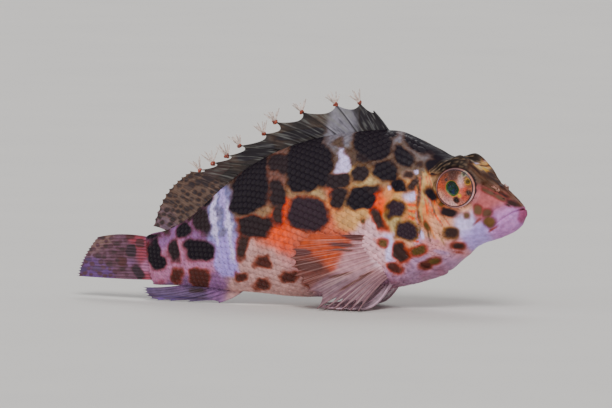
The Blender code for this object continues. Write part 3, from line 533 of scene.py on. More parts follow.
def roughness(points, size, seed):
    # soft noise from -1 to 1 over points in millimetres
    offset = Vector((seed * 13.7, seed * 5.1, seed * 9.3))
    return np.array([noise.noise(Vector(point) / size + offset) for point in points])


def pigment(points, marks, leftMarks, grounds, lights=()):
    # ground colour, blotch colour and depth inside the nearest blotch, for each point
    x, y = seenAt(points)
    for size, amount, seed in paintForm["wander"]:
        shift = amount * (0.25 if not lights else 1.0) * (1 - 0.8 * eased(x, 392, 430))
        x = x + roughness(points, size, seed) * shift
        y = y + roughness(points, size, seed + 11) * shift
    ground = np.zeros((len(points), 3))
    weight = np.full(len(points), 1e-9)
    for name, patches in grounds.items():
        paint = colour(pigments[name])
        for placeX, placeY, radius in patches:
            away = ((x - placeX) ** 2 + (y - placeY) ** 2) / radius**2
            share = np.exp(-np.minimum(away, 40)) + 1e-4 / (1 + away) ** 2
            ground += share[:, None] * paint
            weight += share
    ground /= weight[:, None]
    for row in lights:
        edge = row[6] * photoView["mmPerPixel"]
        share = eased(inBlotch(x, y, row), -0.6 * edge, 0.6 * edge)
        ground += share[:, None] * (colour(pigments[row[5]]) - ground)
    inside = np.full(len(points), -3.0)
    mark = np.tile(colour(markColours["black"]), (len(points), 1))
    for side, its in ((-1, marks), (1, leftMarks)):
        here = points[:, 1] <= 0 if side < 0 else points[:, 1] > 0
        for row in its:
            depth = inBlotch(x, y, row)
            kind, rim = row[5:]
            if rim:
                code, wide = rimColours[rim]
                wide *= photoView["mmPerPixel"]
                share = 0.8 * here * eased(depth, -1.7 * wide, -0.1 * wide)
                ground += share[:, None] * (colour(code) - ground)
            nearer = here & (depth > inside)
            inside[nearer] = depth[nearer]
            mark[nearer] = colour(markColours.get(kind) or pigments[kind])
    return ground, mark, inside


allLights = [row for rows in lightMarks.values() for row in rows]
rightMarks = [row for rows in skinMarks.values() for row in rows]
leftMarks = shiftedMarks(rightMarks, 2.5)


def objectOf(name, data):
    made = bpy.data.objects.new(name, data)
    bpy.context.scene.collection.objects.link(made)
    return made


def meshOf(shape, name):
    mesh = bpy.data.meshes.new(name)
    shape.to_mesh(mesh)
    shape.free()
    return objectOf(name, mesh)


def faceOutwards(obj, merge=0.0):
    # turns all faces outwards, once vertices nearer than merge are made one
    shape = bmesh.new()
    shape.from_mesh(obj.data)
    if merge:
        bmesh.ops.remove_doubles(shape, verts=shape.verts, dist=merge)
    bmesh.ops.recalc_face_normals(shape, faces=shape.faces)
    shape.to_mesh(obj.data)
    shape.free()


def places(obj):
    # a mesh's vertices as an array
    found = np.empty(len(obj.data.vertices) * 3)
    obj.data.vertices.foreach_get("co", found)
    return found.reshape(-1, 3)


def setPlaces(obj, points):
    obj.data.vertices.foreach_set("co", np.asarray(points, float).ravel())
    obj.data.update()


def normalsOf(obj):
    found = np.empty(len(obj.data.vertices) * 3, np.float32)
    obj.data.vertex_normals.foreach_get("vector", found)
    return found.reshape(-1, 3).astype(float)


def setValues(obj, name, values):
    # a number or a colour for every vertex
    values = np.asarray(values, np.float32)
    if values.ndim == 2:
        layer = obj.data.color_attributes.new(name, "FLOAT_COLOR", "POINT")
        full = np.ones((len(values), 4), np.float32)
        full[:, :3] = values
        layer.data.foreach_set("color", full.ravel())
    else:
        layer = obj.data.attributes.new(name, "FLOAT", "POINT")
        layer.data.foreach_set("value", values)


def setPigments(obj, ground, mark, inside):
    setValues(obj, "ground", ground)
    setValues(obj, "mark", mark)
    setValues(obj, "inMark", inside)


def applied(obj):
    graph = bpy.context.evaluated_depsgraph_get()
    mesh = bpy.data.meshes.new_from_object(obj.evaluated_get(graph))
    obj.modifiers.clear()
    obj.data = mesh
    return obj


def flatGrid(name, columns, rows):
    # a flat grid and each vertex's share across and along it
    shape = bmesh.new()
    bmesh.ops.create_grid(shape, x_segments=columns, y_segments=rows, size=0.5)
    made = meshOf(shape, name)
    flat = places(made)
    return made, np.clip(flat[:, 0] + 0.5, 0, 1), np.clip(flat[:, 1] + 0.5, 0, 1)


def alongLine(x, y, line):
    # distance to a drawn line, the side of it, and the share along it
    best = np.full(len(x), 1e9)
    side = np.zeros(len(x))
    share = np.zeros(len(x))
    for place, (start, end) in enumerate(zip(line[:-1], line[1:])):
        wayX, wayY = end[0] - start[0], end[1] - start[1]
        t = ((x - start[0]) * wayX + (y - start[1]) * wayY) / (wayX**2 + wayY**2)
        t = np.clip(t, 0, 1)
        offX, offY = x - start[0] - t * wayX, y - start[1] - t * wayY
        away = np.hypot(offX, offY)
        nearer = away < best
        best[nearer] = away[nearer]
        side[nearer] = np.sign(wayX * offY - wayY * offX)[nearer]
        share[nearer] = ((place + t) / (len(line) - 1))[nearer]
    return best, side, share


# Lines drawn on the head, in millimetres behind the snout and above its level
headLines = {
    "mouth": [(-1.0, 0.0), (0.2, 0.0), (1.7, -0.5), (3.2, -1.2), (4.6, -2.1), (5.6, -2.9)],
    "maxilla": [(1.6, 1.3), (3.4, 1.2), (5.0, 0.3), (6.2, -1.2), (6.5, -2.8), (5.7, -3.2)],
    "preopercle": [(13.9, 7.4), (15.6, 4.4), (16.2, 1.0), (15.4, -2.2), (12.8, -4.2), (9.6, -4.3)],
    "gill": [
        (17.6, 20.0), (18.8, 16.0), (20.2, 11.0), (21.3, 7.6), (22.8, 4.8), (23.8, 2.2),
        (23.6, -0.6), (22.6, -3.4), (20.9, -6.0), (18.6, -8.0), (15.0, -9.6), (11.0, -8.4),
    ],
    "gillTop": 9.0,
    "lateral": [
        (20.5, 9.6), (26, 11.6), (34, 11.9), (42, 10.9), (50, 8.4), (58, 4.6), (64, 2.2), (73, 0.6),
    ],
    "rearNostril": (5.5, 5.2),
    "frontNostril": (3.7, 4.0),
}
# Folds of the skin: height, place from their line or from the eye's middle, and width
reliefForm = {
    "rows": (66, 92, 112),
    "stops": (-0.35, 8.0, 26.0, 73.55),
    "around": 264,
    "merge": 0.004,
    "cap": 0.35,
    "lip": (0.16, 0.62, 0.34),
    "mouthGroove": (0.20, 0.22, 0.16),
    "mouthTo": 6.5,
    "maxilla": [(0.16, 0.35, 0.45), (-0.16, -0.25, 0.16)],
    "preopercle": (0.26, 0.25, 0.5),
    "preopercleGroove": (-0.2, -0.45, 0.25),
    "teeth": 26,
    "gill": [(0.16, 0.55, 0.5), (-0.28, -0.12, 0.18)],
    "orbit": [(0.16, 3.90, 0.15), (-0.08, 4.14, 0.11), (0.09, 4.36, 0.15)],
    "browArcs": [(0.07, 4.8, 0.2), (0.07, 5.3, 0.2)],
    "brow": {"at": (8.6, 10.5), "wide": (2.9, 1.2), "high": 0.85},
    "socket": 1.5,
    "throat": (0.10, 1.25),
    "grain": [(1.6, 1, 0.06), (0.55, 2, 0.035)],
}


def folds(value, rows):
    return sum(high * bump(value, middle, wide) for high, middle, wide in rows)


def skinRelief(points):
    # how far the skin stands out from the plain form
    behind, up = -points[:, 0], points[:, 2]
    lift = np.zeros(len(points))
    away, side, share = alongLine(behind, up, smoothLine(headLines["mouth"], 24))
    fade = 1 - eased(share, 0.80, 1.0)
    lips = folds(away, [reliefForm["lip"]]) * eased(behind, 0.2, 2.0)
    groove, deeper, wide = reliefForm["mouthGroove"]
    lips -= (groove + deeper * (1 - eased(behind, 0.4, 2.0))) * bump(away, 0.0, wide)
    lift += lips * fade * (behind < reliefForm["mouthTo"])
    away, side, share = alongLine(behind, up, smoothLine(headLines["maxilla"], 20))
    lift += folds(away * side, reliefForm["maxilla"]) * eased(share, 0, 0.3)
    away, side, share = alongLine(behind, up, smoothLine(headLines["preopercle"], 24))
    teeth = 0.75 + 0.25 * np.sin(share * 2 * math.pi * reliefForm["teeth"])
    ends = eased(share, 0, 0.15) * (1 - eased(share, 0.85, 1.0))
    ridge = folds(away * side, [reliefForm["preopercle"]]) * teeth
    lift += (ridge + folds(away * side, [reliefForm["preopercleGroove"]])) * ends
    away, side, share = alongLine(behind, up, smoothLine(headLines["gill"], 40))
    top = headLines["gillTop"]
    ends = (1 - eased(up, top - 1.5, top + 0.5)) * (1 - eased(share, 0.93, 1.0))
    lift += folds(away * side, reliefForm["gill"]) * ends
    ring = eyeRing(behind - behindEye, up - upEye)
    lift += folds(ring, reliefForm["orbit"])
    lift += folds(ring, reliefForm["browArcs"]) * eased(up, 3.0, 7.0)
    brow = reliefForm["brow"]
    overEye = bump(behind, brow["at"][0], brow["wide"][0]) * bump(up, brow["at"][1], brow["wide"][1])
    overEye *= eased(np.abs(points[:, 1]), 1.5, 2.9)
    lift += brow["high"] * overEye * (1 + 0.25 * roughness(points, 0.8, 5))
    lift -= reliefForm["socket"] * (1 - eased(ring, 3.42, 3.76))
    for nostril, depth, wide in (("rearNostril", 0.5, 0.36), ("frontNostril", 0.3, 0.3)):
        place = headLines[nostril]
        away = np.hypot(behind - place[0], up - place[1])
        lift += folds(away, [(-depth, 0, wide), (0.10, wide * 1.9, wide * 0.6)])
    throat = eased(behind, 9.0, 13.0) * (1 - eased(behind, 19.0, 22.0)) * (1 - eased(up, -7.4, -5.6))
    high, apart = reliefForm["throat"]
    lift += high * throat * np.sin((up + 0.35 * behind) * 2 * math.pi / apart)
    onHead = 1 - eased(behind, 16.0, 22.0)
    for size, seed, high in reliefForm["grain"]:
        lift += roughness(points, size, seed) * high * onHead
    return lift


def buildSkin():
    rows = sum(reliefForm["rows"])
    skin, around, along = flatGrid("skin", reliefForm["around"], rows)
    knots = np.cumsum((0,) + reliefForm["rows"]) / rows
    behind = np.interp(along, knots, reliefForm["stops"])
    inside = np.clip(behind, 0.0, bodyForm["end"])
    points = skinPoint(inside, around * 2 * math.pi)
    middle = np.stack([-inside, 0 * inside, (bodyLine(inside, 1) + bodyLine(inside, 2)) / 2], -1)
    past = np.clip(np.maximum(-behind, behind - bodyForm["end"]) / reliefForm["cap"], 0.0, 1.0)
    points = middle + (points - middle) * np.sqrt(1 - past**2)[:, None]
    points[:, 0] -= behind - inside
    setPlaces(skin, points)
    faceOutwards(skin, reliefForm["merge"])
    points = places(skin)
    points += normalsOf(skin) * skinRelief(points)[:, None]
    ground, mark, inside = pigment(points, rightMarks, leftMarks, skinGrounds, allLights)
    ground, inside = paintedBrows(points, ground, inside)
    setPigments(skin, ground, mark, inside)
    setPlaces(skin, posed(points))
    skin.data.shade_smooth()
    return skin


browForm = {"ring": (3.8, 6.2), "dark": "#1e1918", "pale": "#806c5a", "step": 0.62, "from": 5.6}


def paintedBrows(points, ground, inside):
    # arcs of dark and pale over the eye, and a dark lid line round it
    behind, up = -points[:, 0], points[:, 2]
    ring = eyeRing(behind - behindEye, up - upEye)
    ring = ring + 0.16 * roughness(points, 0.9, 8)
    low, high = browForm["ring"]
    share = eased(ring, low - 0.15, low + 0.1) * (1 - eased(ring, high - 0.9, high))
    share *= eased(up - 0.15 * behind, browForm["from"], browForm["from"] + 1.6)
    share *= eased(behind, 7.0, 8.6)
    stripe = 0.5 + 0.5 * np.sin((ring - low) * 2 * math.pi / browForm["step"])
    stripe = eased(stripe, 0.62, 1.0) * eased(roughness(points, 0.7, 9), -0.25, 0.35)
    dark, pale = colour(browForm["dark"]), colour(browForm["pale"])
    paint = dark + stripe[:, None] * (pale - dark)
    ground = ground + (0.9 * share)[:, None] * (paint - ground)
    inside = np.where(share > 0.5, np.minimum(inside, -0.6), inside)
    lid = bump(ring, 3.84, 0.10) * (1 - share)
    return ground + (0.75 * lid)[:, None] * (dark - ground), inside


skin = buildSkin()
print("skin:", len(skin.data.polygons), "faces")

# Scales: rows are counted from the lateral line, columns from behind the head
scaleForm = {
    "body": {"from": 14.5, "to": 72.6, "step": 0.92, "row": 1.24, "long": 2.0, "wide": 0.70, "lift": 0.03},
    "cheek": {
        "from": 12.6, "to": 23.4, "step": 0.62, "row": 0.86, "long": 1.25, "wide": 0.48, "lift": 0.02,
    },
    "thick": 0.02,
    "sink": 0.06,
}


def scaleTemplate():
    # one closed plate: x across from -1 to 1, y from root 0 to free edge 1, z its two faces
    shape = bmesh.new()
    bmesh.ops.create_grid(shape, x_segments=4, y_segments=4, size=0.5)
    bmesh.ops.solidify(shape, geom=shape.faces[:], thickness=0.02)
    bmesh.ops.recalc_face_normals(shape, faces=shape.faces)
    made = meshOf(shape, "scaleTemplate")
    flat = places(made)
    faces = [tuple(face.vertices) for face in made.data.polygons]
    bpy.data.objects.remove(made)
    across, along = np.clip(flat[:, 0] * 2, -1, 1), np.clip(flat[:, 1] + 0.5, 0, 1)
    top = flat[:, 2] > flat[:, 2].mean()
    rounding = np.sqrt(1 - 0.72 * eased(along, 0.35, 1.25) ** 1.2)
    narrow = 0.55 + 0.45 * eased(along, 0, 0.35)
    return across * rounding * narrow, along - 0.20 * across**2 * along**2, top, np.array(faces)


def scaleRoots(form, allowed):
    # root places on one side: distance behind the snout and turn round the section
    found = []
    turns = np.linspace(-math.pi / 2, math.pi / 2, 361)
    for column, behind in enumerate(np.arange(form["from"], form["to"], form["step"])):
        ring = skinPoint(np.full_like(turns, behind), turns)
        arc = np.concatenate([[0], np.cumsum(np.linalg.norm(np.diff(ring, axis=0), axis=1))])
        lateral = np.array(headLines["lateral"])
        level = np.interp(behind, lateral[:, 0], lateral[:, 1])
        start = np.interp(level, ring[:, 2], arc)
        row = form["row"] * (1 - 0.35 * eased(behind, 40, 72))
        offset = 0.5 * row * (column % 2)
        first = -math.floor((start + offset) / row)
        last = math.floor((arc[-1] - start - offset) / row)
        for number in range(first, last + 1):
            place = start + offset + number * row
            if not 0.35 * row < place < arc[-1] - 0.35 * row:
                continue
            turn = float(np.interp(place, arc, turns))
            height = float(np.interp(place, arc, ring[:, 2]))
            if allowed(behind, height):
                found.append((behind, turn, row / form["row"], number))
    return found


gillLine = smoothLine(headLines["gill"][:10], 40)


def onTrunk(behind, height):
    gillAt = np.interp(-height, -gillLine[:, 1], gillLine[:, 0]) if height > -8 else 18.6
    if height > headLines["gillTop"]:
        return behind > 15.0 + 0.25 * (height - 9.0)
    return behind > gillAt + 0.45


def onCheek(behind, height):
    ring = math.hypot(behind - behindEye, height - upEye)
    gillAt = np.interp(-height, -gillLine[:, 1], gillLine[:, 0])
    return ring > 5.6 and -6.5 < height < 8.6 and behind < gillAt - 1.7


def buildScales(name, side, form, allowed):
    across, along, top, faces = scaleTemplate()
    roots = scaleRoots(form, allowed)
    points, bakeMap, tints, edges = [], [], [], []
    for behind, turn, size, number in roots:
        size *= chance.uniform(0.95, 1.05)
        tilt = chance.uniform(-0.05, 0.05)
        turns = turn if side > 0 else math.pi - turn
        here = skinPoint(np.array([behind, behind]), np.array([turns - 0.01, turns + 0.01]))
        speed = max(np.linalg.norm(here[1] - here[0]) / 0.02, 2.5)
        localS = behind + (along - 0.35) * form["long"] * size + tilt * across
        localTurn = turns + across * form["wide"] * size / speed
        localS = np.minimum(localS, bodyForm["end"] + 0.2)
        surface = skinPoint(localS, localTurn)
        normal = skinNormal(localS, localTurn)
        rise = -scaleForm["sink"] + (scaleForm["sink"] + form["lift"] * size) * along
        rise += top * scaleForm["thick"] - 0.03 * across**2
        points.append(surface + normal * rise[:, None])
        start = np.array([behind / 80.0, (turns / (2 * math.pi)) % 1.0])
        bakeMap.append(start + np.stack([along - 0.5, across * 0.5], 1) * 0.003)
        tints.append(np.full(len(along), chance.uniform(-1, 1)))
        edges.append(eased(along, 0.62, 0.98))
    count = len(along)
    points = np.concatenate(points)
    allFaces = np.concatenate([faces + count * i for i in range(len(roots))])
    mesh = bpy.data.meshes.new(name)
    mesh.from_pydata(points.tolist(), [], allFaces.tolist())
    made = objectOf(name, mesh)
    ground, mark, inside = pigment(points, rightMarks, leftMarks, skinGrounds, allLights)
    setPigments(made, ground, mark, inside)
    setValues(made, "tint", np.concatenate(tints))
    setValues(made, "edge", np.concatenate(edges))
    bakeMap = np.concatenate(bakeMap)
    layer = mesh.uv_layers.new(name="OFBake")
    corners = np.empty(len(mesh.loops), int)
    mesh.loops.foreach_get("vertex_index", corners)
    layer.data.foreach_set("uv", np.clip(bakeMap[corners], 0, 1).ravel())
    setPlaces(made, posed(points))
    faceOutwards(made)
    mesh.shade_smooth()
    return made


scales = []
for side, word in ((-1, "right"), (1, "left")):
    scales.append(buildScales(f"scales_{word}", side, scaleForm["body"], onTrunk))
    scales.append(buildScales(f"cheek_scales_{word}", side, scaleForm["cheek"], onCheek))
print("scales:", sum(len(piece.data.polygons) for piece in scales), "faces")

# Fins, with the solids' own rays: root, bend and tip of each in the straight fish
finForm = {
    "rootDepth": 1.5,
    "spines": [
        (22.9, 25.9, 20.9), (25.9, 28.5, 22.7), (28.9, 32.8, 23.0), (32.0, 39.6, 22.5),
        (35.2, 44.7, 21.4), (38.4, 47.3, 19.6), (41.6, 52.0, 18.1), (44.8, 54.9, 16.6),
        (48.0, 57.6, 15.7), (51.2, 60.6, 14.8),
    ],
    "spineSway": 0.3,
    "softRays": 12,
    "softRoots": (54.0, 67.4),
    "softEdge": [(62.4, 14.8), (65.0, 13.6), (67.6, 11.8), (69.8, 9.2), (71.6, 6.0)],
    "analRoots": (53.8, 62.3),
    "analTips": [
        (60.6, -0.15), (66.8, -0.15), (70.8, -0.15), (73.2, -0.1), (74.6, 0.1),
        (75.3, 0.6), (75.7, 1.1), (75.8, 1.6), (75.7, 2.1),
    ],
    "caudalRays": 15,
    "caudalTipsAt": 88.6,
    "caudalSlant": 3.0,
    "caudalFork": -0.9,
    "caudalMiddle": (0.1, 1.7, 2.1),
    "caudalHalfHeight": (3.8, 4.2, 3.2),
    "pectoralRoots": ((24.2, 6.3, -1.2), (25.2, 5.2, -8.3)),
    "pectoralTips": [
        (38.7, 7.5, 1.0), (40.9, 7.8, 0.1), (42.1, 8.0, -1.3), (42.7, 8.2, -2.8),
        (42.5, 8.6, -4.4), (41.9, 9.0, -6.0), (40.9, 9.4, -7.6), (39.7, 9.9, -9.1),
        (38.2, 10.4, None), (36.5, 10.9, None), (34.8, 11.4, None), (33.1, 11.8, None),
        (31.4, 12.1, None), (29.8, 12.2, None),
    ],
    "leftFold": (5.5, -1.5),
    "freeRays": 6,
    "pelvicRoots": ((25.9, 2.7), (28.4, 1.3)),
    "rightPelvicTips": [(30.4, 8.4), (32.8, 9.3), (35.3, 9.2), (37.5, 8.0), (39.0, 6.2), (39.8, 4.2)],
    "leftPelvicTips": [(33.4, 6.5), (36.0, 6.7), (38.2, 6.2), (39.8, 5.2), (40.8, 4.0), (41.2, 2.7)],
}


def bezier(rays, t):
    t = t[:, None]
    return rays[:, 0] * (1 - t) ** 2 + rays[:, 1] * 2 * t * (1 - t) + rays[:, 2] * t**2


# A ray's section: its share of the web's width, how it narrows and thins, and where it forks
rayForm = {
    "notch": 0.6,
    "wide": 0.62,
    "narrows": 0.55,
    "thins": 0.62,
    "fork": 0.45,
    "forkFrom": 0.72,
    "least": 0.04,
}


def finSheet(name, rays, look, marks, grounds):
    # a web between rays that stand out on both faces, split towards their tips
    rays = np.array(rays, float)
    webs = len(rays) - 1
    fin, across, along = flatGrid(name, webs * look["perWeb"], look["rows"])
    place = across * webs
    low = np.minimum(place.astype(int), webs - 1)
    share = place - low
    reach = np.array(look["reach"])[low]
    notch = np.sin(math.pi * share) ** rayForm["notch"]
    t = along * (1 - (1 - reach) * notch * along**2)
    first, second = bezier(rays[low], t), bezier(rays[low + 1], t)
    points = first + (second - first) * share[:, None]
    spacing = np.linalg.norm(second - first, axis=1)
    away = np.minimum(share, 1 - share) * spacing
    parting = look["split"] * spacing * eased(t, look["splitFrom"], 1.0)
    away = np.abs(away - parting)
    away = np.abs(away - rayForm["fork"] * parting * eased(t, rayForm["forkFrom"], 1.0))
    thick = np.array(look["rayThick"])
    rayThick = thick[low] + (thick[low + 1] - thick[low]) * (share > 0.5)
    wide = (rayForm["wide"] * rayThick * (1 - rayForm["narrows"] * t) + 0.03) / 2
    wide *= look.get("widthFactor", 1.0)
    ray = bump(away, 0.0, np.maximum(wide, rayForm["least"]))
    size = look["web"] + (rayThick * (1 - rayForm["thins"] * t) - look["web"]) * ray
    size = np.maximum(size, look["web"] * 0.9)
    setPlaces(fin, points)
    setValues(fin, "ray", ray)
    setValues(fin, "along", t)
    setValues(fin, "cross", place)
    group = fin.vertex_groups.new(name="thick")
    widest = size.max()
    for index, value in enumerate(size / widest):
        group.add([index], float(value), "REPLACE")
    wall = fin.modifiers.new("wall", "SOLIDIFY")
    wall.thickness = float(widest)
    wall.offset = 0.0
    wall.vertex_group = "thick"
    applied(fin)
    fin.vertex_groups.clear()
    points = places(fin)
    ground, mark, inside = pigment(points, marks, marks, grounds)
    setPigments(fin, ground, mark, inside)
    points = posed(points)
    points[:, 2] = np.maximum(points[:, 2], 0.02 * mm)
    setPlaces(fin, points)
    faceOutwards(fin)
    fin.data.shade_smooth()
    return fin


def spineRays():
    rays = []
    for place, (root, tip, up) in enumerate(finForm["spines"]):
        foot = np.array([-root, 0, float(bodyLine(root, 1)) - finForm["rootDepth"]])
        end = np.array([-tip, finForm["spineSway"] * (1 if place % 2 else -1), up])
        rays.append([foot, (foot + end) / 2 + np.array([0, 0, 0.6]), end])
    return rays


def softDorsalRays():
    rays = []
    first, last = finForm["softRoots"]
    for place, (tip, up) in enumerate(smoothLine(finForm["softEdge"], finForm["softRays"] - 1)):
        root = first + (last - first) * place / (finForm["softRays"] - 1)
        foot = np.array([-root, 0, float(bodyLine(root, 1)) - finForm["rootDepth"]])
        end = np.array([-tip, 0, up])
        rays.append([foot, (foot + end) / 2 + np.array([0.3, 0, 0.5]), end])
    return rays


def analRays():
    rays = []
    first, last = finForm["analRoots"]
    tips = finForm["analTips"]
    for place, (tip, over) in enumerate(tips):
        root = first + (last - first) * place / (len(tips) - 1)
        foot = np.array([-root, 0, float(bodyLine(root, 2)) + finForm["rootDepth"]])
        end = np.array([-tip, 0, float(heightOverFloor(tip, over + 0.2))])
        middle = (root + tip) / 2 - 0.6
        low = float(heightOverFloor(middle, over + 0.2))
        rays.append([foot, np.array([-middle, 0, max((foot[2] + end[2]) / 2 - 1.0, low)]), end])
    return rays


def caudalRays():
    rays = []
    for place in range(finForm["caudalRays"]):
        u = 2 * place / (finForm["caudalRays"] - 1) - 1
        tip = finForm["caudalTipsAt"] - finForm["caudalSlant"] * u + finForm["caudalFork"] * u**2
        stops = (bodyForm["end"] - 1.2, (bodyForm["end"] + tip) / 2, tip)
        parts = zip(stops, finForm["caudalMiddle"], finForm["caudalHalfHeight"])
        rays.append([np.array([-behind, 0, middle + half * u]) for behind, middle, half in parts])
    return rays


def pectoralRays(side):
    rays = []
    top, low = (np.array(root) for root in finForm["pectoralRoots"])
    back, inward = finForm["leftFold"] if side > 0 else (0.0, 0.0)
    tips = finForm["pectoralTips"]
    for place, (tip, out, up) in enumerate(tips):
        folded = place / (len(tips) - 1)
        tip, out = tip + back * folded, out + inward * folded
        root, across, rise = top + (low - top) * folded
        foot = np.array([-root, across - 1.2, rise])
        level = up if up is not None else float(heightOverFloor(tip, 0.35))
        end = np.array([-tip, out, level])
        middle = foot + (end - foot) * 0.32
        away = max(middle[1], float(flank(-middle[0], middle[2]))) + 1.5
        bend = np.array([middle[0], away, middle[2] + 0.9 * folded])
        rays.append([point * np.array([1, side, 1]) for point in (foot, bend, end)])
    return rays


def pelvicRays(side):
    rays = []
    (frontS, frontOut), (rearS, rearOut) = finForm["pelvicRoots"]
    tips = finForm["rightPelvicTips"] if side < 0 else finForm["leftPelvicTips"]
    for place, (tip, out) in enumerate(tips):
        share = place / (len(tips) - 1)
        root, across = frontS + (rearS - frontS) * share, frontOut + (rearOut - frontOut) * share
        foot = np.array([-root, across, float(bodyLine(root, 2)) + 1.6])
        end = np.array([-tip, out, float(heightOverFloor(tip, 0.4))])
        bend = (foot + end) / 2
        bend[2] = float(heightOverFloor(-bend[0], 0.4))
        rays.append([point * np.array([1, side, 1]) for point in (foot, bend, end)])
    return rays


# Blotches of the fins, in the same form as the skin's
finMarks = {
    "pectoral": [
        (353, 236, 11, 3.8, 10, "plum", ""), (341, 245, 12, 2.2, 2, "plum", ""),
        (341, 250.5, 11, 1.2, 0, "rusty", ""), (339, 275, 10, 1.2, -12, "rusty", ""),
        (300, 252, 11, 3.4, 4, "plum", ""), (309, 266, 12, 4.6, 8, "rusty", ""),
        (366, 274, 7, 1.0, -22, "rusty", ""), (352, 283, 12, 1.0, -30, "rusty", ""),
        (365, 231.5, 11, 0.8, 14, "umber", ""),
    ],
    "caudal": [
        (115, 243.5, 3.6, 2, 0, "brown", ""), (112.5, 252.5, 4, 2, 8, "brown", ""),
        (104, 247, 3, 2, 0, "brown", ""), (96, 256, 3, 2.4, 0, "brown", ""),
        (88, 250.5, 3, 2, 0, "brown", ""), (108, 264.5, 4, 2.4, 0, "brown", ""),
        (118, 261.5, 3.4, 2.4, 0, "brown", ""), (95, 269, 5, 2.4, 0, "violet", ""),
        (80, 270, 5, 2.6, 0, "violet", ""), (100, 238.5, 3, 1.6, 0, "brown", ""),
        (121, 270, 3, 2, 0, "brown", ""), (86, 260, 3, 1.8, 0, "violet", ""),
        (121, 249, 2.4, 2, 0, "brown", ""), (103, 257, 2.4, 1.8, 0, "brown", ""),
    ],
    "anal": [(175, 297, 26, 1.0, 3, "violet", ""), (196, 290, 8, 2, 0, "brown", "")],
    "pelvic": [],
}
finGrounds = {
    "pectoral": {
        "finPearl": [(384, 246, 8), (378, 257, 7), (374, 236, 4)],
        "finPink": [(362, 257, 8), (352, 268, 9), (368, 268, 7), (366, 246, 6)],
        "finOrange": [(322, 239, 12), (336, 232, 7), (306, 243, 9), (330, 258, 7)],
        "finRust": [(300, 256, 8), (310, 267, 9), (296, 268, 9), (320, 268, 6)],
        "finLilac": [(352, 286, 12), (366, 278, 8), (345, 302, 12), (330, 290, 8)],
    },
    "dorsal": {
        "webDark": [(372, 118, 14), (300, 132, 14), (255, 150, 12), (215, 168, 9), (390, 128, 8)],
        "webGrey": [(345, 123, 9), (336, 130, 7)],
        "webBrown": [(280, 128, 10), (236, 148, 10), (318, 121, 7), (200, 172, 8)],
        "softFinTan": [(190, 192, 16), (172, 205, 12), (206, 184, 8)],
        "softFinLilac": [(160, 226, 10), (166, 214, 6)],
    },
    "pelvic": {"finPearl": [(345, 292, 20)], "finPink": [(310, 300, 24)]},
}


def spotsWithin(box, gap, sizes, kind):
    # small spots strewn over a box of pixels, none nearer to another than the gap
    found = []
    for _ in range(4000):
        x, y = chance.uniform(box[0], box[2]), chance.uniform(box[1], box[3])
        if all(math.hypot(x - spot[0], y - spot[1]) > gap for spot in found):
            wide = chance.uniform(*sizes)
            tall = wide * chance.uniform(0.7, 1.0)
            found.append((x, y, wide, tall, chance.uniform(-40, 40), kind, ""))
    return found


softSpots = spotsWithin((140, 165, 225, 245), 4.9, (1.8, 2.9), "umber")
softSpots += [(208, 178, 10, 5, -36, "umber", ""), (190, 186, 5, 3.4, -50, "umber", "")]
spineMarks = [(373, 118, 14, 13, 0, "black", ""), (392, 129, 12, 5, 20, "black", "")]
spineMarks += [(300, 134, 26, 5, -8, "black", ""), (256, 152, 20, 6, -18, "black", "")]
spineMarks += [(214, 172, 18, 6, -30, "brown", "")]
stalkMarks = skinMarks["caudalBase"] + finMarks["caudal"]
stalkMarks += spotsWithin((78, 238, 126, 276), 5.0, (1.5, 2.3), "tailSpot")
fins = {}
spines = spineRays()
spineCount = len(spines)
fins["dorsal_fin_spiny"] = finSheet(
    "dorsal_membrane_spiny", spines + softDorsalRays()[:1],
    {"perWeb": 16, "rows": 44, "reach": [0.80] * spineCount, "rayThick": [0.8] * spineCount + [0.4],
     "web": 0.14, "split": 0.0, "splitFrom": 0.5, "widthFactor": 0.8},
    spineMarks, finGrounds["dorsal"],
)
fins["dorsal_fin_soft"] = finSheet(
    "dorsal_membrane_soft", softDorsalRays(),
    {"perWeb": 14, "rows": 48, "reach": [0.95] * 11, "rayThick": [0.48] * 12,
     "web": 0.14, "split": 0.2, "splitFrom": 0.4},
    softSpots, finGrounds["dorsal"],
)
fins["caudal_fin"] = finSheet(
    "caudal_membrane", caudalRays(),
    {"perWeb": 14, "rows": 60, "reach": [0.965] * 14, "rayThick": [0.6] * 15,
     "web": 0.14, "split": 0.22, "splitFrom": 0.35},
    stalkMarks, skinGrounds,
)
fins["anal_fin"] = finSheet(
    "anal_membrane", analRays(),
    {"perWeb": 14, "rows": 48, "reach": [0.8, 0.85, 0.9] + [0.95] * 5,
     "rayThick": [0.8, 1.0, 0.9] + [0.5] * 6, "web": 0.14, "split": 0.15, "splitFrom": 0.4},
    finMarks["anal"], skinGrounds,
)
for side, word in ((-1, "right"), (1, "left")):
    pectoral = pectoralRays(side)
    webbed = len(pectoral) - finForm["freeRays"]
    fins[f"pectoral_fin_{word}"] = finSheet(
        f"pectoral_membrane_{word}", pectoral,
        {"perWeb": 12, "rows": 56, "reach": [0.955] * (webbed - 1) + [0.90] + [0.82] * 5,
         "rayThick": [0.5] * webbed + [0.85] * 6, "web": 0.13, "split": 0.0, "splitFrom": 0.5},
        finMarks["pectoral"], finGrounds["pectoral"],
    )
    fins[f"pelvic_fin_{word}"] = finSheet(
        f"pelvic_membrane_{word}", pelvicRays(side),
        {"perWeb": 16, "rows": 44, "reach": [0.9] * 5, "rayThick": [1.0] + [0.7] * 5,
         "web": 0.16, "split": 0.18, "splitFrom": 0.5},
        finMarks["pelvic"], finGrounds["pelvic"],
    )
print("fins:", sum(len(fin.data.polygons) for fin in fins.values()), "faces")

# Skin threads: each path is a list of points in the straight fish with its radius there
tuftForm = {"threads": (7, 9), "long": 2.2, "root": 0.15, "tip": 0.07, "knob": 0.40, "bare": 1}
threadForm = {"sides": 3, "steps": 7}


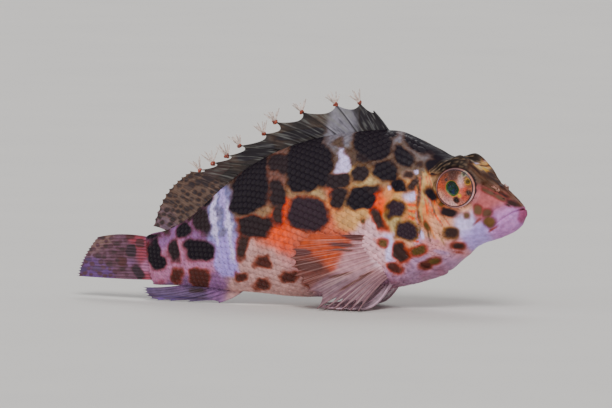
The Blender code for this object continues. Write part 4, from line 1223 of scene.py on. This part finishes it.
def threadPiece(name, paths):
    curve = bpy.data.curves.new(name, "CURVE")
    curve.dimensions = "3D"
    curve.bevel_depth = 1.0 * mm
    curve.bevel_resolution = threadForm["sides"]
    curve.use_fill_caps = True
    for path in paths:
        line = curve.splines.new("POLY")
        line.points.add(len(path) - 1)
        for spot, (point, radius) in zip(line.points, path):
            spot.co = (*posed(np.array(point)), 1.0)
            spot.radius = radius
    made = objectOf(name, curve)
    graph = bpy.context.evaluated_depsgraph_get()
    mesh = bpy.data.meshes.new_from_object(made.evaluated_get(graph))
    bpy.data.objects.remove(made)
    mesh.shade_smooth()
    return objectOf(name, mesh)


def bentThread(start, way, droop, long, form):
    path = []
    for step in range(threadForm["steps"]):
        share = step / (threadForm["steps"] - 1)
        point = np.array(start) + np.array(way) * long * share + np.array(droop) * share**2
        path.append((point, form["root"] + (form["tip"] - form["root"]) * share))
    return path


def buildTufts():
    threads, knobs = [], bmesh.new()
    for root, tip, up in finForm["spines"][tuftForm["bare"]:]:
        sway = finForm["spineSway"] * (1 if finForm["spines"].index((root, tip, up)) % 2 else -1)
        end = np.array([-tip, sway, up])
        for number in range(chance.randint(*tuftForm["threads"])):
            around = 2 * math.pi * number / 8 + chance.uniform(-0.3, 0.3)
            out = chance.uniform(0.35, 0.95)
            way = np.array([-0.25 + out * math.cos(around), out * math.sin(around), 1.0])
            way /= np.linalg.norm(way)
            long = tuftForm["long"] * chance.uniform(0.75, 1.15)
            droop = (-0.35 * chance.random(), 0.2 * chance.uniform(-1, 1), 0.1)
            threads.append(bentThread(end + way * 0.1, way, droop, long, tuftForm))
        spot = Vector(posed(end + np.array([0, 0, -0.05])))
        bmesh.ops.create_icosphere(
            knobs, subdivisions=3, radius=tuftForm["knob"] * mm, matrix=Matrix.Translation(spot)
        )
    for vert in knobs.verts:
        vert.co += Vector(vert.normal) * noise.noise(vert.co / mm * 2.6) * 0.32 * mm
    threadObject = threadPiece("dorsal_tufts", threads)
    knobObject = meshOf(knobs, "dorsal_knobs")
    knobObject.data.shade_smooth()
    return threadObject, knobObject


nostrilForm = {
    "threads": 5, "lean": 0.30, "long": (0.6, 0.85), "thread": {"root": 0.08, "tip": 0.03},
    "foot": 0.40, "mouth": 0.30, "high": 0.5, "inner": 0.62, "well": 0.4,
}


def buildNostrils():
    fringe, rims = [], bmesh.new()
    behind, up = headLines["frontNostril"]
    for side in (-1, 1):
        foot = swollen(np.array([-behind, side * float(flank(behind, up)), up]))
        outward = np.array([0.1, side * 0.8, 0.5])
        outward /= np.linalg.norm(outward)
        for number in range(nostrilForm["threads"]):
            lean = (number - nostrilForm["threads"] // 2) * nostrilForm["lean"]
            way = outward + np.array([-0.9 + lean, 0.0, 0.45])
            way /= np.linalg.norm(way)
            start = foot + outward * 0.3 + np.array([-0.16, 0, 0.1])
            long = chance.uniform(*nostrilForm["long"])
            fringe.append(bentThread(start, way, (-0.2, 0, 0.1), long, nostrilForm["thread"]))
        made = bmesh.ops.create_cone(
            rims, cap_ends=False, segments=28, radius1=nostrilForm["foot"] * mm,
            radius2=nostrilForm["mouth"] * mm, depth=nostrilForm["high"] * mm,
        )
        mouthEdges = [edge for vert in made["verts"] for edge in vert.link_edges if edge.is_boundary]
        topEdges = [e for e in set(mouthEdges) if all(v.co.z > 0 for v in e.verts)]
        inner = bmesh.ops.extrude_edge_only(rims, edges=topEdges)["geom"]
        innerVerts = [item for item in inner if isinstance(item, bmesh.types.BMVert)]
        bmesh.ops.scale(rims, verts=innerVerts, vec=(nostrilForm["inner"], nostrilForm["inner"], 1.0))
        deeper = [item for item in inner if isinstance(item, bmesh.types.BMEdge)]
        deeper = [e for e in deeper if all(v in innerVerts for v in e.verts)]
        well = bmesh.ops.extrude_edge_only(rims, edges=deeper)["geom"]
        wellVerts = [item for item in well if isinstance(item, bmesh.types.BMVert)]
        bmesh.ops.translate(rims, verts=wellVerts, vec=(0, 0, -nostrilForm["well"] * mm))
        mine = list(made["verts"]) + innerVerts + wellVerts
        turn = Vector((0, 0, 1)).rotation_difference(Vector(outward)).to_matrix()
        pitch = Matrix.Rotation(-fishPose["pitch"], 3, "Y")
        bmesh.ops.rotate(rims, verts=mine, cent=(0, 0, 0), matrix=pitch @ turn)
        bmesh.ops.translate(rims, verts=mine, vec=Vector(posed(foot + outward * 0.2)))
    bmesh.ops.recalc_face_normals(rims, faces=rims.faces)
    rimObject = meshOf(rims, "nostril_rims")
    rimObject.data.shade_smooth()
    return threadPiece("nostril_fringes", fringe), rimObject


tufts, knobs = buildTufts()
fringes, nostrilRims = buildNostrils()
print("threads:", len(tufts.data.polygons) + len(fringes.data.polygons), "faces")

# Eyes: places on the iris are millimetres behind and above its middle
irisForm = {
    "pupil": (0.34, 0.20),
    "pupilSize": (1.16, 1.22),
    "pupilPoint": 0.34,
    "pupilDepth": 0.34,
    "flat": 0.10,
    "dish": 0.05,
    "darkRing": (3.12, 3.2, 3.3, 3.38),
    "paleRing": (3.3, 3.38, 3.48, 3.56),
    "lidRing": (3.52, 3.6),
    "sectors": [
        # The three dark sectors high on the iris, at (-0.2, 2.3), (0.2, 1.5) and (0.0, 3.1), are painted
        # shadow of the brow
        ("#c04a1c", 2.6, 0.9, 0.9), ("#8c3c20", 1.7, 2.4, 0.8), ("#d09c8c", 2.9, -0.7, 0.6),
        ("#96301a", 1.8, 0.5, 0.5), ("#5c241c", 1.9, 1.5, 0.5), ("#4c2c2a", -0.2, 2.3, 0.9),
        ("#3c2630", 0.2, 1.5, 0.6), ("#24181c", 0.0, 3.1, 1.0), ("#d8a4a4", 1.9, -2.1, 0.8),
        ("#e8c0bc", 0.8, -2.8, 0.6), ("#c0aca8", -1.55, 1.8, 0.40), ("#d8b4b8", -1.5, 1.0, 0.38),
        ("#dca0a0", -1.45, 0.2, 0.42), ("#cc6458", -1.2, -0.6, 0.45), ("#bc4034", -2.0, -0.5, 0.4),
        ("#c0443a", -1.6, -1.9, 0.45), ("#b07068", -0.9, -2.5, 0.5), ("#6c5038", -2.5, 1.5, 0.5),
        ("#703c2c", -2.9, 0.1, 0.5), ("#8c4438", -2.2, -1.9, 0.4), ("#94543c", 1.0, 1.0, 0.4),
        ("#b86050", 1.4, -1.0, 0.5),
    ],
    "spots": [
        ("#4a463a", -2.2, 2.3, 0.40, "#a09c84"), ("#54401e", -2.75, 0.85, 0.50, "#a88040"),
        ("#42302a", -2.6, -1.15, 0.50, "#7c4a3c"), ("#e0a030", -0.92, -1.42, 0.26, "#e8b848"),
        ("#2c1e1c", -0.12, -2.1, 0.50, "#5c362e"), ("#38282a", 1.2, 1.7, 0.30, "#6c4034"),
    ],
}


def buildEye(side, name):
    behind, out, up = eyeForm["centre"]
    radii = np.array(eyeForm["radii"])
    shape = bmesh.new()
    bmesh.ops.create_uvsphere(shape, u_segments=144, v_segments=96, radius=1.0)
    turn = Matrix.Rotation(math.radians(90), 3, "X")
    bmesh.ops.rotate(shape, verts=shape.verts, cent=(0, 0, 0), matrix=turn)
    ball = meshOf(shape, name)
    unit = places(ball)
    outer = unit[:, 1] * side > 0
    back, high = -unit[:, 0] * radii[0], unit[:, 2] * radii[2]
    ring = eyeRing(back, high)
    pupilBack, pupilUp = irisForm["pupil"]
    wide, tall = irisForm["pupilSize"]
    toward = np.maximum((pupilBack - back) * 0.6 + (pupilUp - high) * 0.8, 0)
    stretch = 1 + irisForm["pupilPoint"] * eased(toward, 0.2, 1.6)
    inPupil = 1 - np.hypot((back - pupilBack) / wide, (high - pupilUp) / tall) / stretch
    flatten = outer * irisForm["flat"] * (1 - eased(ring, 2.6, 3.2))
    dip = irisForm["dish"] * eased(ring, 1.2, 2.2) * (1 - eased(ring, 2.9, 3.2))
    dip = outer * (dip + irisForm["pupilDepth"] * eased(inPupil, -0.03, 0.16))
    points = unit * (radii * (1 - flatten[:, None] * np.array([0, 1, 0])))
    points[:, 1] -= side * dip
    ground = np.tile(colour("#c07a62"), (len(unit), 1))
    weight = np.full(len(unit), 0.25)
    ground *= weight[:, None]
    for code, spotBack, spotUp, size in irisForm["sectors"]:
        share = np.exp(-((back - spotBack) ** 2 + (high - spotUp) ** 2) / size**2)
        ground += share[:, None] * colour(code)
        weight += share
    # painted shade of the brow on the iris: the iris colour is made darker towards its top
    ground *= ((1 - 0.45 * eased(high, 1.0, 3.0)) / weight)[:, None]
    for code, spotBack, spotUp, size, rim in irisForm["spots"]:
        away = np.hypot(back - spotBack, high - spotUp) / size
        ground += (1 - eased(away, 1.0, 1.55))[:, None] * (colour(rim) - ground)
        ground += (1 - eased(away, 0.65, 1.0))[:, None] * (colour(code) - ground)
    setValues(ball, "ground", ground)
    setValues(ball, "ring", ring + 10 * (~outer))
    setValues(ball, "inPupil", inPupil - 10 * (~outer))
    setValues(ball, "around", np.arctan2(high - pupilUp, back - pupilBack))
    setValues(ball, "under", eased(0.5 * back - high, -2.6, 1.2))
    centre = np.array([-behind, side * out, up])
    setPlaces(ball, posed(points + centre))
    ball.data.shade_smooth()
    shape = bmesh.new()
    bmesh.ops.create_uvsphere(shape, u_segments=64, v_segments=40, radius=1.0)
    bmesh.ops.rotate(shape, verts=shape.verts, cent=(0, 0, 0), matrix=turn)
    inset = eyeForm["corneaInset"]
    low = [v for v in shape.verts if v.co.y * side < eyeForm["corneaFrom"]]
    bmesh.ops.delete(shape, geom=low, context="VERTS")
    dome = meshOf(shape, name.replace("eye", "cornea"))
    grown = places(dome) * (radii + np.array([-inset, eyeForm["clear"], -inset]))
    setPlaces(dome, posed(grown + centre))
    dome.data.shade_smooth()
    return ball, dome


eyes = {}
for side, word in ((-1, "right"), (1, "left")):
    eyes[word] = buildEye(side, f"eyeball_{word}")
print("eyes:", len(eyes["right"][0].data.polygons), "faces each")


# Materials
def newTree(name):
    material = bpy.data.materials.new(name)
    material.use_nodes = True
    tree = material.node_tree
    return material, tree, tree.nodes["Principled BSDF"]


def put(tree, kind, **settings):
    # a node with its properties and its inputs set; an input given a socket is linked
    node = tree.nodes.new(kind)
    for key, value in settings.get("set", {}).items():
        setattr(node, key, value)
    for key, value in settings.get("inputs", {}).items():
        if isinstance(value, bpy.types.NodeSocket):
            tree.links.new(value, node.inputs[key])
        else:
            node.inputs[key].default_value = value
    return node


def attribute(tree, name, output="Fac"):
    return put(tree, "ShaderNodeAttribute", set={"attribute_name": name}).outputs[output]


def maths(tree, operation, first, second=0.0):
    return put(
        tree, "ShaderNodeMath", set={"operation": operation}, inputs={0: first, 1: second}
    ).outputs[0]


def product(tree, first, second):
    return maths(tree, "MULTIPLY", first, second)


def ranged(tree, value, low, high, toLow=0.0, toHigh=1.0):
    return put(
        tree, "ShaderNodeMapRange", set={"interpolation_type": "SMOOTHSTEP"},
        inputs={"Value": value, "From Min": low, "From Max": high, "To Min": toLow, "To Max": toHigh},
    ).outputs[0]


def mixed(tree, factor, first, second, blend="MIX"):
    node = put(tree, "ShaderNodeMix", set={"data_type": "RGBA", "blend_type": blend})
    for key, value in ((0, factor), (6, first), (7, second)):
        if isinstance(value, bpy.types.NodeSocket):
            tree.links.new(value, node.inputs[key])
        else:
            node.inputs[key].default_value = value
    return node.outputs[2]


def flecks(tree, size, detail=3.0):
    # noise on the object's own coordinates, with features about this many millimetres across
    place = put(tree, "ShaderNodeTexCoord").outputs["Object"]
    return put(
        tree, "ShaderNodeTexNoise",
        inputs={"Vector": place, "Scale": 1 / (size * mm), "Detail": detail},
    ).outputs["Fac"]


def greyOf(tree, value):
    return put(tree, "ShaderNodeCombineColor", inputs={0: value, 1: value, 2: value}).outputs[0]


def setShader(shader, **values):
    for key, value in values.items():
        shader.inputs[key.replace("_", " ")].default_value = value


def pigmentColour(tree, edgeNoise, soft):
    # ground and blotches, with a ragged edge between them
    ground = attribute(tree, "ground", "Color")
    mark = attribute(tree, "mark", "Color")
    wobble = product(tree, maths(tree, "SUBTRACT", flecks(tree, 1.1, 4.0), 0.5), edgeNoise)
    depth = maths(tree, "ADD", attribute(tree, "inMark"), wobble)
    factor = ranged(tree, depth, -0.6 * soft, 1.2 * soft)
    mottle = ranged(tree, flecks(tree, 0.9, 5.0), 0.3, 0.7, 0.78, 1.16)
    shade = greyOf(tree, mottle)
    ground = mixed(tree, 1.0, ground, shade, "MULTIPLY")
    brown = mixed(tree, 1.0, ground, opaque(paintForm["edgeBrown"]), "MULTIPLY")
    ground = mixed(tree, ranged(tree, depth, -1.9 * soft, 0.2 * soft, 0.0, 0.8), ground, brown)
    return mixed(tree, factor, ground, mark), factor


def skinMaterial():
    material, tree, shader = newTree("skin")
    base, factor = pigmentColour(tree, 0.6, 0.32)
    tree.links.new(base, shader.inputs["Base Color"])
    relief = put(
        tree, "ShaderNodeBump",
        inputs={"Strength": 0.35, "Distance": 0.06 * mm, "Height": flecks(tree, 0.3, 4.0)},
    )
    tree.links.new(relief.outputs[0], shader.inputs["Normal"])
    tree.links.new(ranged(tree, flecks(tree, 1.4), 0.3, 0.7, 0.42, 0.6), shader.inputs["Roughness"])
    setShader(
        shader, Subsurface_Weight=0.12, Subsurface_Scale=0.5 * mm, Coat_Weight=0.0,
        Coat_Roughness=0.22, Specular_IOR_Level=0.06,
    )
    shader.inputs["Subsurface Radius"].default_value = (1.0, 0.45, 0.35)
    return material


def scaleMaterial():
    material, tree, shader = newTree("scales")
    base, factor = pigmentColour(tree, 0.6, 0.32)
    tint = ranged(tree, attribute(tree, "tint"), -1.0, 1.0, 0.93, 1.06)
    shade = greyOf(tree, tint)
    base = mixed(tree, 1.0, base, shade, "MULTIPLY")
    pale = product(tree, attribute(tree, "edge"), ranged(tree, factor, 0.0, 1.0, 0.07, 0.02))
    base = mixed(tree, pale, base, opaque("#d8c4c4"))
    tree.links.new(base, shader.inputs["Base Color"])
    tree.links.new(ranged(tree, flecks(tree, 1.4), 0.3, 0.7, 0.36, 0.54), shader.inputs["Roughness"])
    setShader(shader, Coat_Weight=0.02, Coat_Roughness=0.3, Specular_IOR_Level=0.14)
    return material


def finMaterial(name, form):
    material, tree, shader = newTree(name)
    base, factor = pigmentColour(tree, 0.5, 0.16)
    ray = attribute(tree, "ray")
    joints = put(
        tree, "ShaderNodeMath", set={"operation": "SINE"},
        inputs={0: product(tree, attribute(tree, "along"), form["joints"])},
    ).outputs[0]
    lane = put(
        tree, "ShaderNodeCombineXYZ",
        inputs={
            0: product(tree, attribute(tree, "cross"), form["lanes"]),
            1: product(tree, attribute(tree, "along"), 2.2),
        },
    ).outputs[0]
    threads = put(
        tree, "ShaderNodeTexNoise", inputs={"Vector": lane, "Scale": 1.0, "Detail": 2.0}
    ).outputs["Fac"]
    streak = product(tree, ranged(tree, threads, 0.5, 0.68), form["laneShare"])
    base = mixed(tree, streak, base, opaque(form["lanePale"]))
    streak = product(tree, ranged(tree, threads, 0.34, 0.48, 1.0, 0.0), form["laneShare"])
    base = mixed(tree, streak, base, opaque(form["laneDark"]))
    band = ranged(tree, joints, -0.6, 0.9, 0.3, 0.7)
    rayTone = mixed(tree, band, opaque(form["rayDark"]), opaque(form["rayPale"]))
    rayShare = product(tree, ray, form["rayShare"])
    rayShare = product(tree, rayShare, ranged(tree, factor, 0, 1, 1.0, 0.35))
    base = mixed(tree, rayShare, base, rayTone)
    tree.links.new(base, shader.inputs["Base Color"])
    marked = product(tree, factor, form["markSolid"])
    solid = maths(tree, "MAXIMUM", ranged(tree, ray, 0.05, 0.6), marked)
    fade = ranged(tree, attribute(tree, "along"), 0.0, form["clearFrom"], 1.0, 0.0)
    solid = maths(tree, "MAXIMUM", solid, fade)
    tree.links.new(ranged(tree, solid, 0.0, 1.0, form["web"], 1.0), shader.inputs["Alpha"])
    setShader(shader, Roughness=0.42, Specular_IOR_Level=0.3)
    return material


def plainMaterial(name, low, high, size, rough):
    material, tree, shader = newTree(name)
    tone = ranged(tree, flecks(tree, size, 4.0), 0.3, 0.7)
    base = mixed(tree, tone, opaque(low), opaque(high))
    tree.links.new(base, shader.inputs["Base Color"])
    setShader(shader, Roughness=rough, Coat_Weight=0.15)
    return material


def banded(tree, value, stops):
    # 1 between the two middle stops and 0 outside the outer ones
    rising = ranged(tree, value, stops[0], stops[1])
    return product(tree, rising, ranged(tree, value, stops[2], stops[3], 1.0, 0.0))


def eyeMaterial():
    material, tree, shader = newTree("iris")
    ring = attribute(tree, "ring")
    spokes = put(
        tree, "ShaderNodeTexNoise",
        inputs={
            "Vector": put(
                tree, "ShaderNodeCombineXYZ",
                inputs={
                    0: product(tree, attribute(tree, "around"), 5.0),
                    1: product(tree, ring, 0.9),
                },
            ).outputs[0],
            "Scale": 2.6, "Detail": 4.0,
        },
    ).outputs["Fac"]
    tone = ranged(tree, spokes, 0.3, 0.7, 0.55, 1.35)
    shade = greyOf(tree, tone)
    base = mixed(tree, 1.0, attribute(tree, "ground", "Color"), shade, "MULTIPLY")
    base = mixed(tree, banded(tree, ring, irisForm["darkRing"]), base, opaque("#3a2a30"))
    white = banded(tree, ring, irisForm["paleRing"])
    white = product(tree, white, ranged(tree, attribute(tree, "under"), 0.0, 1.0, 0.25, 1.0))
    base = mixed(tree, white, base, opaque("#d4b0b4"))
    base = mixed(tree, ranged(tree, ring, *irisForm["lidRing"]), base, opaque("#2c2024"))
    inPupil = attribute(tree, "inPupil")
    gold = product(tree, ranged(tree, inPupil, -0.10, -0.04), 0.6)
    base = mixed(tree, gold, base, opaque("#c0843a"))
    # painted sheen on the dark pupil: green and blue flecks, and a green ring just inside its edge
    greenSheen = ranged(tree, flecks(tree, 0.9, 2.0), 0.42, 0.58)
    pupilWithSheen = mixed(tree, greenSheen, opaque("#0e1412"), opaque("#1c3a28"))
    pupilWithSheen = mixed(tree, ranged(tree, flecks(tree, 0.55, 2.0), 0.52, 0.66), pupilWithSheen, opaque("#222c4e"))
    pupilWithSheen = mixed(tree, ranged(tree, inPupil, 0.1, 0.2, 1.0, 0.0), pupilWithSheen, opaque("#3c5a2c"))
    base = mixed(tree, ranged(tree, inPupil, -0.015, 0.03), base, pupilWithSheen)
    tree.links.new(base, shader.inputs["Base Color"])
    setShader(shader, Roughness=0.4, Coat_Weight=0.15, Coat_Roughness=0.05, Specular_IOR_Level=0.2)
    return material


def corneaMaterial():
    material, _, shader = newTree("cornea")
    setShader(shader, Base_Color=(0.02, 0.02, 0.02, 1), Roughness=0.03, IOR=1.34, Alpha=0.07)
    return material


def dress(obj, material, slotName, *nodes):
    obj.data.materials.clear()
    obj.data.materials.append(material)
    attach(obj, "root")
    if nodes:
        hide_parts(*nodes)


finLooks = {
    "dorsal_fin_spiny": {"joints": 0.0, "rayDark": "#161214", "rayPale": "#221c1e", "rayShare": 0.95,
                         "markSolid": 1.0, "clearFrom": 0.25, "web": 0.97,
                         "lanes": 5.0, "laneShare": 0.5, "lanePale": "#7c7c78", "laneDark": "#141012"},
    "dorsal_fin_soft": {"joints": 60.0, "rayDark": "#4a3a34", "rayPale": "#70584c", "rayShare": 0.4,
                        "markSolid": 0.95, "clearFrom": 0.2, "web": 0.86,
                        "lanes": 2.6, "laneShare": 0.25, "lanePale": "#8c7466", "laneDark": "#38292a"},
    "caudal_fin": {"joints": 60.0, "rayDark": "#5a3c4a", "rayPale": "#80607a", "rayShare": 0.35,
                   "markSolid": 0.95, "clearFrom": 0.25, "web": 0.9,
                   "lanes": 3.2, "laneShare": 0.25, "lanePale": "#8c6c80", "laneDark": "#4a3040"},
    "anal_fin": {"joints": 60.0, "rayDark": "#382c44", "rayPale": "#6c5880", "rayShare": 0.4,
                 "markSolid": 0.95, "clearFrom": 0.25, "web": 0.92,
                 "lanes": 2.4, "laneShare": 0.35, "lanePale": "#7c6a90", "laneDark": "#2e2438"},
    "pectoral": {"joints": 0.0, "rayDark": "#a4746c", "rayPale": "#c49c98", "rayShare": 0.22,
                 "markSolid": 0.9, "clearFrom": 0.45, "web": 0.88,
                 "lanes": 9.0, "laneShare": 0.32, "lanePale": "#d4b0ac", "laneDark": "#6c3430"},
    "pelvic": {"joints": 60.0, "rayDark": "#b888a0", "rayPale": "#d8b8c8", "rayShare": 0.5,
               "markSolid": 0.8, "clearFrom": 0.2, "web": 0.7,
               "lanes": 5.0, "laneShare": 0.3, "lanePale": "#e0c4d0", "laneDark": "#9c6c84"},
}
dress(skin, skinMaterial(), "skin", "head", "torso", "tail")
coat = scaleMaterial()
for piece in scales:
    dress(piece, coat, "skin")
for node, fin in fins.items():
    family = node if node in finLooks else node.split("_")[0]
    dress(fin, finMaterial(f"{node}_web", finLooks[family]), "fin", node)
dress(tufts, plainMaterial("threads", "#b09c94", "#e8dcd4", 0.5, 0.5), "fin")
dress(knobs, plainMaterial("knobs", "#4c201a", "#a04a34", 0.35, 0.5), "fin")
dress(fringes, plainMaterial("fringes", "#8a5a50", "#c99a8c", 0.4, 0.45), "skin")
dress(nostrilRims, plainMaterial("nostrils", "#7a5248", "#a87868", 0.4, 0.4), "skin")
irisLook, corneaLook = eyeMaterial(), corneaMaterial()
for word, (ball, dome) in eyes.items():
    dress(ball, irisLook, "eye", f"eye_{word}")
    dress(dome, corneaLook, "eye")
print("materials: done")

# Floor, lights and camera
stageForm = {
    "floor": 60.0,
    "floorTones": ("#d6d3cf", "#dedbd6"),
    "world": "#dfe0e4",
    "worldStrength": 0.5,
    "suns": [
        ("key", (0.30, -0.72, 0.62), 24.0, 2.6),
        ("fill", (-0.75, -0.60, 0.35), 60.0, 0.55),
        ("rim", (-0.25, 0.75, 0.80), 35.0, 0.9),
    ],
}


def buildStage():
    shape = bmesh.new()
    bmesh.ops.create_grid(shape, x_segments=1, y_segments=1, size=stageForm["floor"] / 2)
    floor = meshOf(shape, "floor")
    material, tree, shader = newTree("floor")
    base = mixed(tree, flecks(tree, 30.0), *(opaque(tone) for tone in stageForm["floorTones"]))
    tree.links.new(base, shader.inputs["Base Color"])
    setShader(shader, Roughness=0.8)
    floor.data.materials.append(material)
    world = bpy.data.worlds.new("studio")
    world.use_nodes = True
    background = world.node_tree.nodes["Background"]
    background.inputs["Color"].default_value = opaque(stageForm["world"])
    background.inputs["Strength"].default_value = stageForm["worldStrength"]
    bpy.context.scene.world = world
    for name, toward, spread, power in stageForm["suns"]:
        light = bpy.data.lights.new(name, "SUN")
        light.angle = math.radians(spread)
        light.energy = power
        lamp = objectOf(name, light)
        lamp.rotation_euler = Vector(toward).to_track_quat("Z", "Y").to_euler()


def buildCamera():
    # the snout comes at its own pixel, and the fish keeps the photograph's scale
    right, up, back = (Vector(axis) for axis in viewAxes())
    wide, tall = photoView["size"]
    snoutX, snoutY = photoView["snout"]
    pixel = photoView["mmPerPixel"] * mm
    snout = Vector(posed(np.zeros(3)))
    middle = snout + right * (wide / 2 - snoutX) * pixel + up * (snoutY - tall / 2) * pixel
    camera = bpy.data.cameras.new("camera")
    camera.lens = photoView["lens"]
    camera.sensor_width = 36.0
    camera.clip_start, camera.clip_end = 0.01, 200.0
    distance = wide * pixel * camera.lens / camera.sensor_width
    waist = Vector(posed(np.array([-fishPose["straightAt"], 0.0, 0.0])))
    distance += (waist - snout).dot(back)
    holder = objectOf("camera", camera)
    holder.matrix_world = Matrix((
        (right.x, up.x, back.x, 0), (right.y, up.y, back.y, 0), (right.z, up.z, back.z, 0), (0, 0, 0, 1),
    ))
    holder.location = middle + back * distance
    bpy.context.scene.camera = holder


buildStage()
buildCamera()
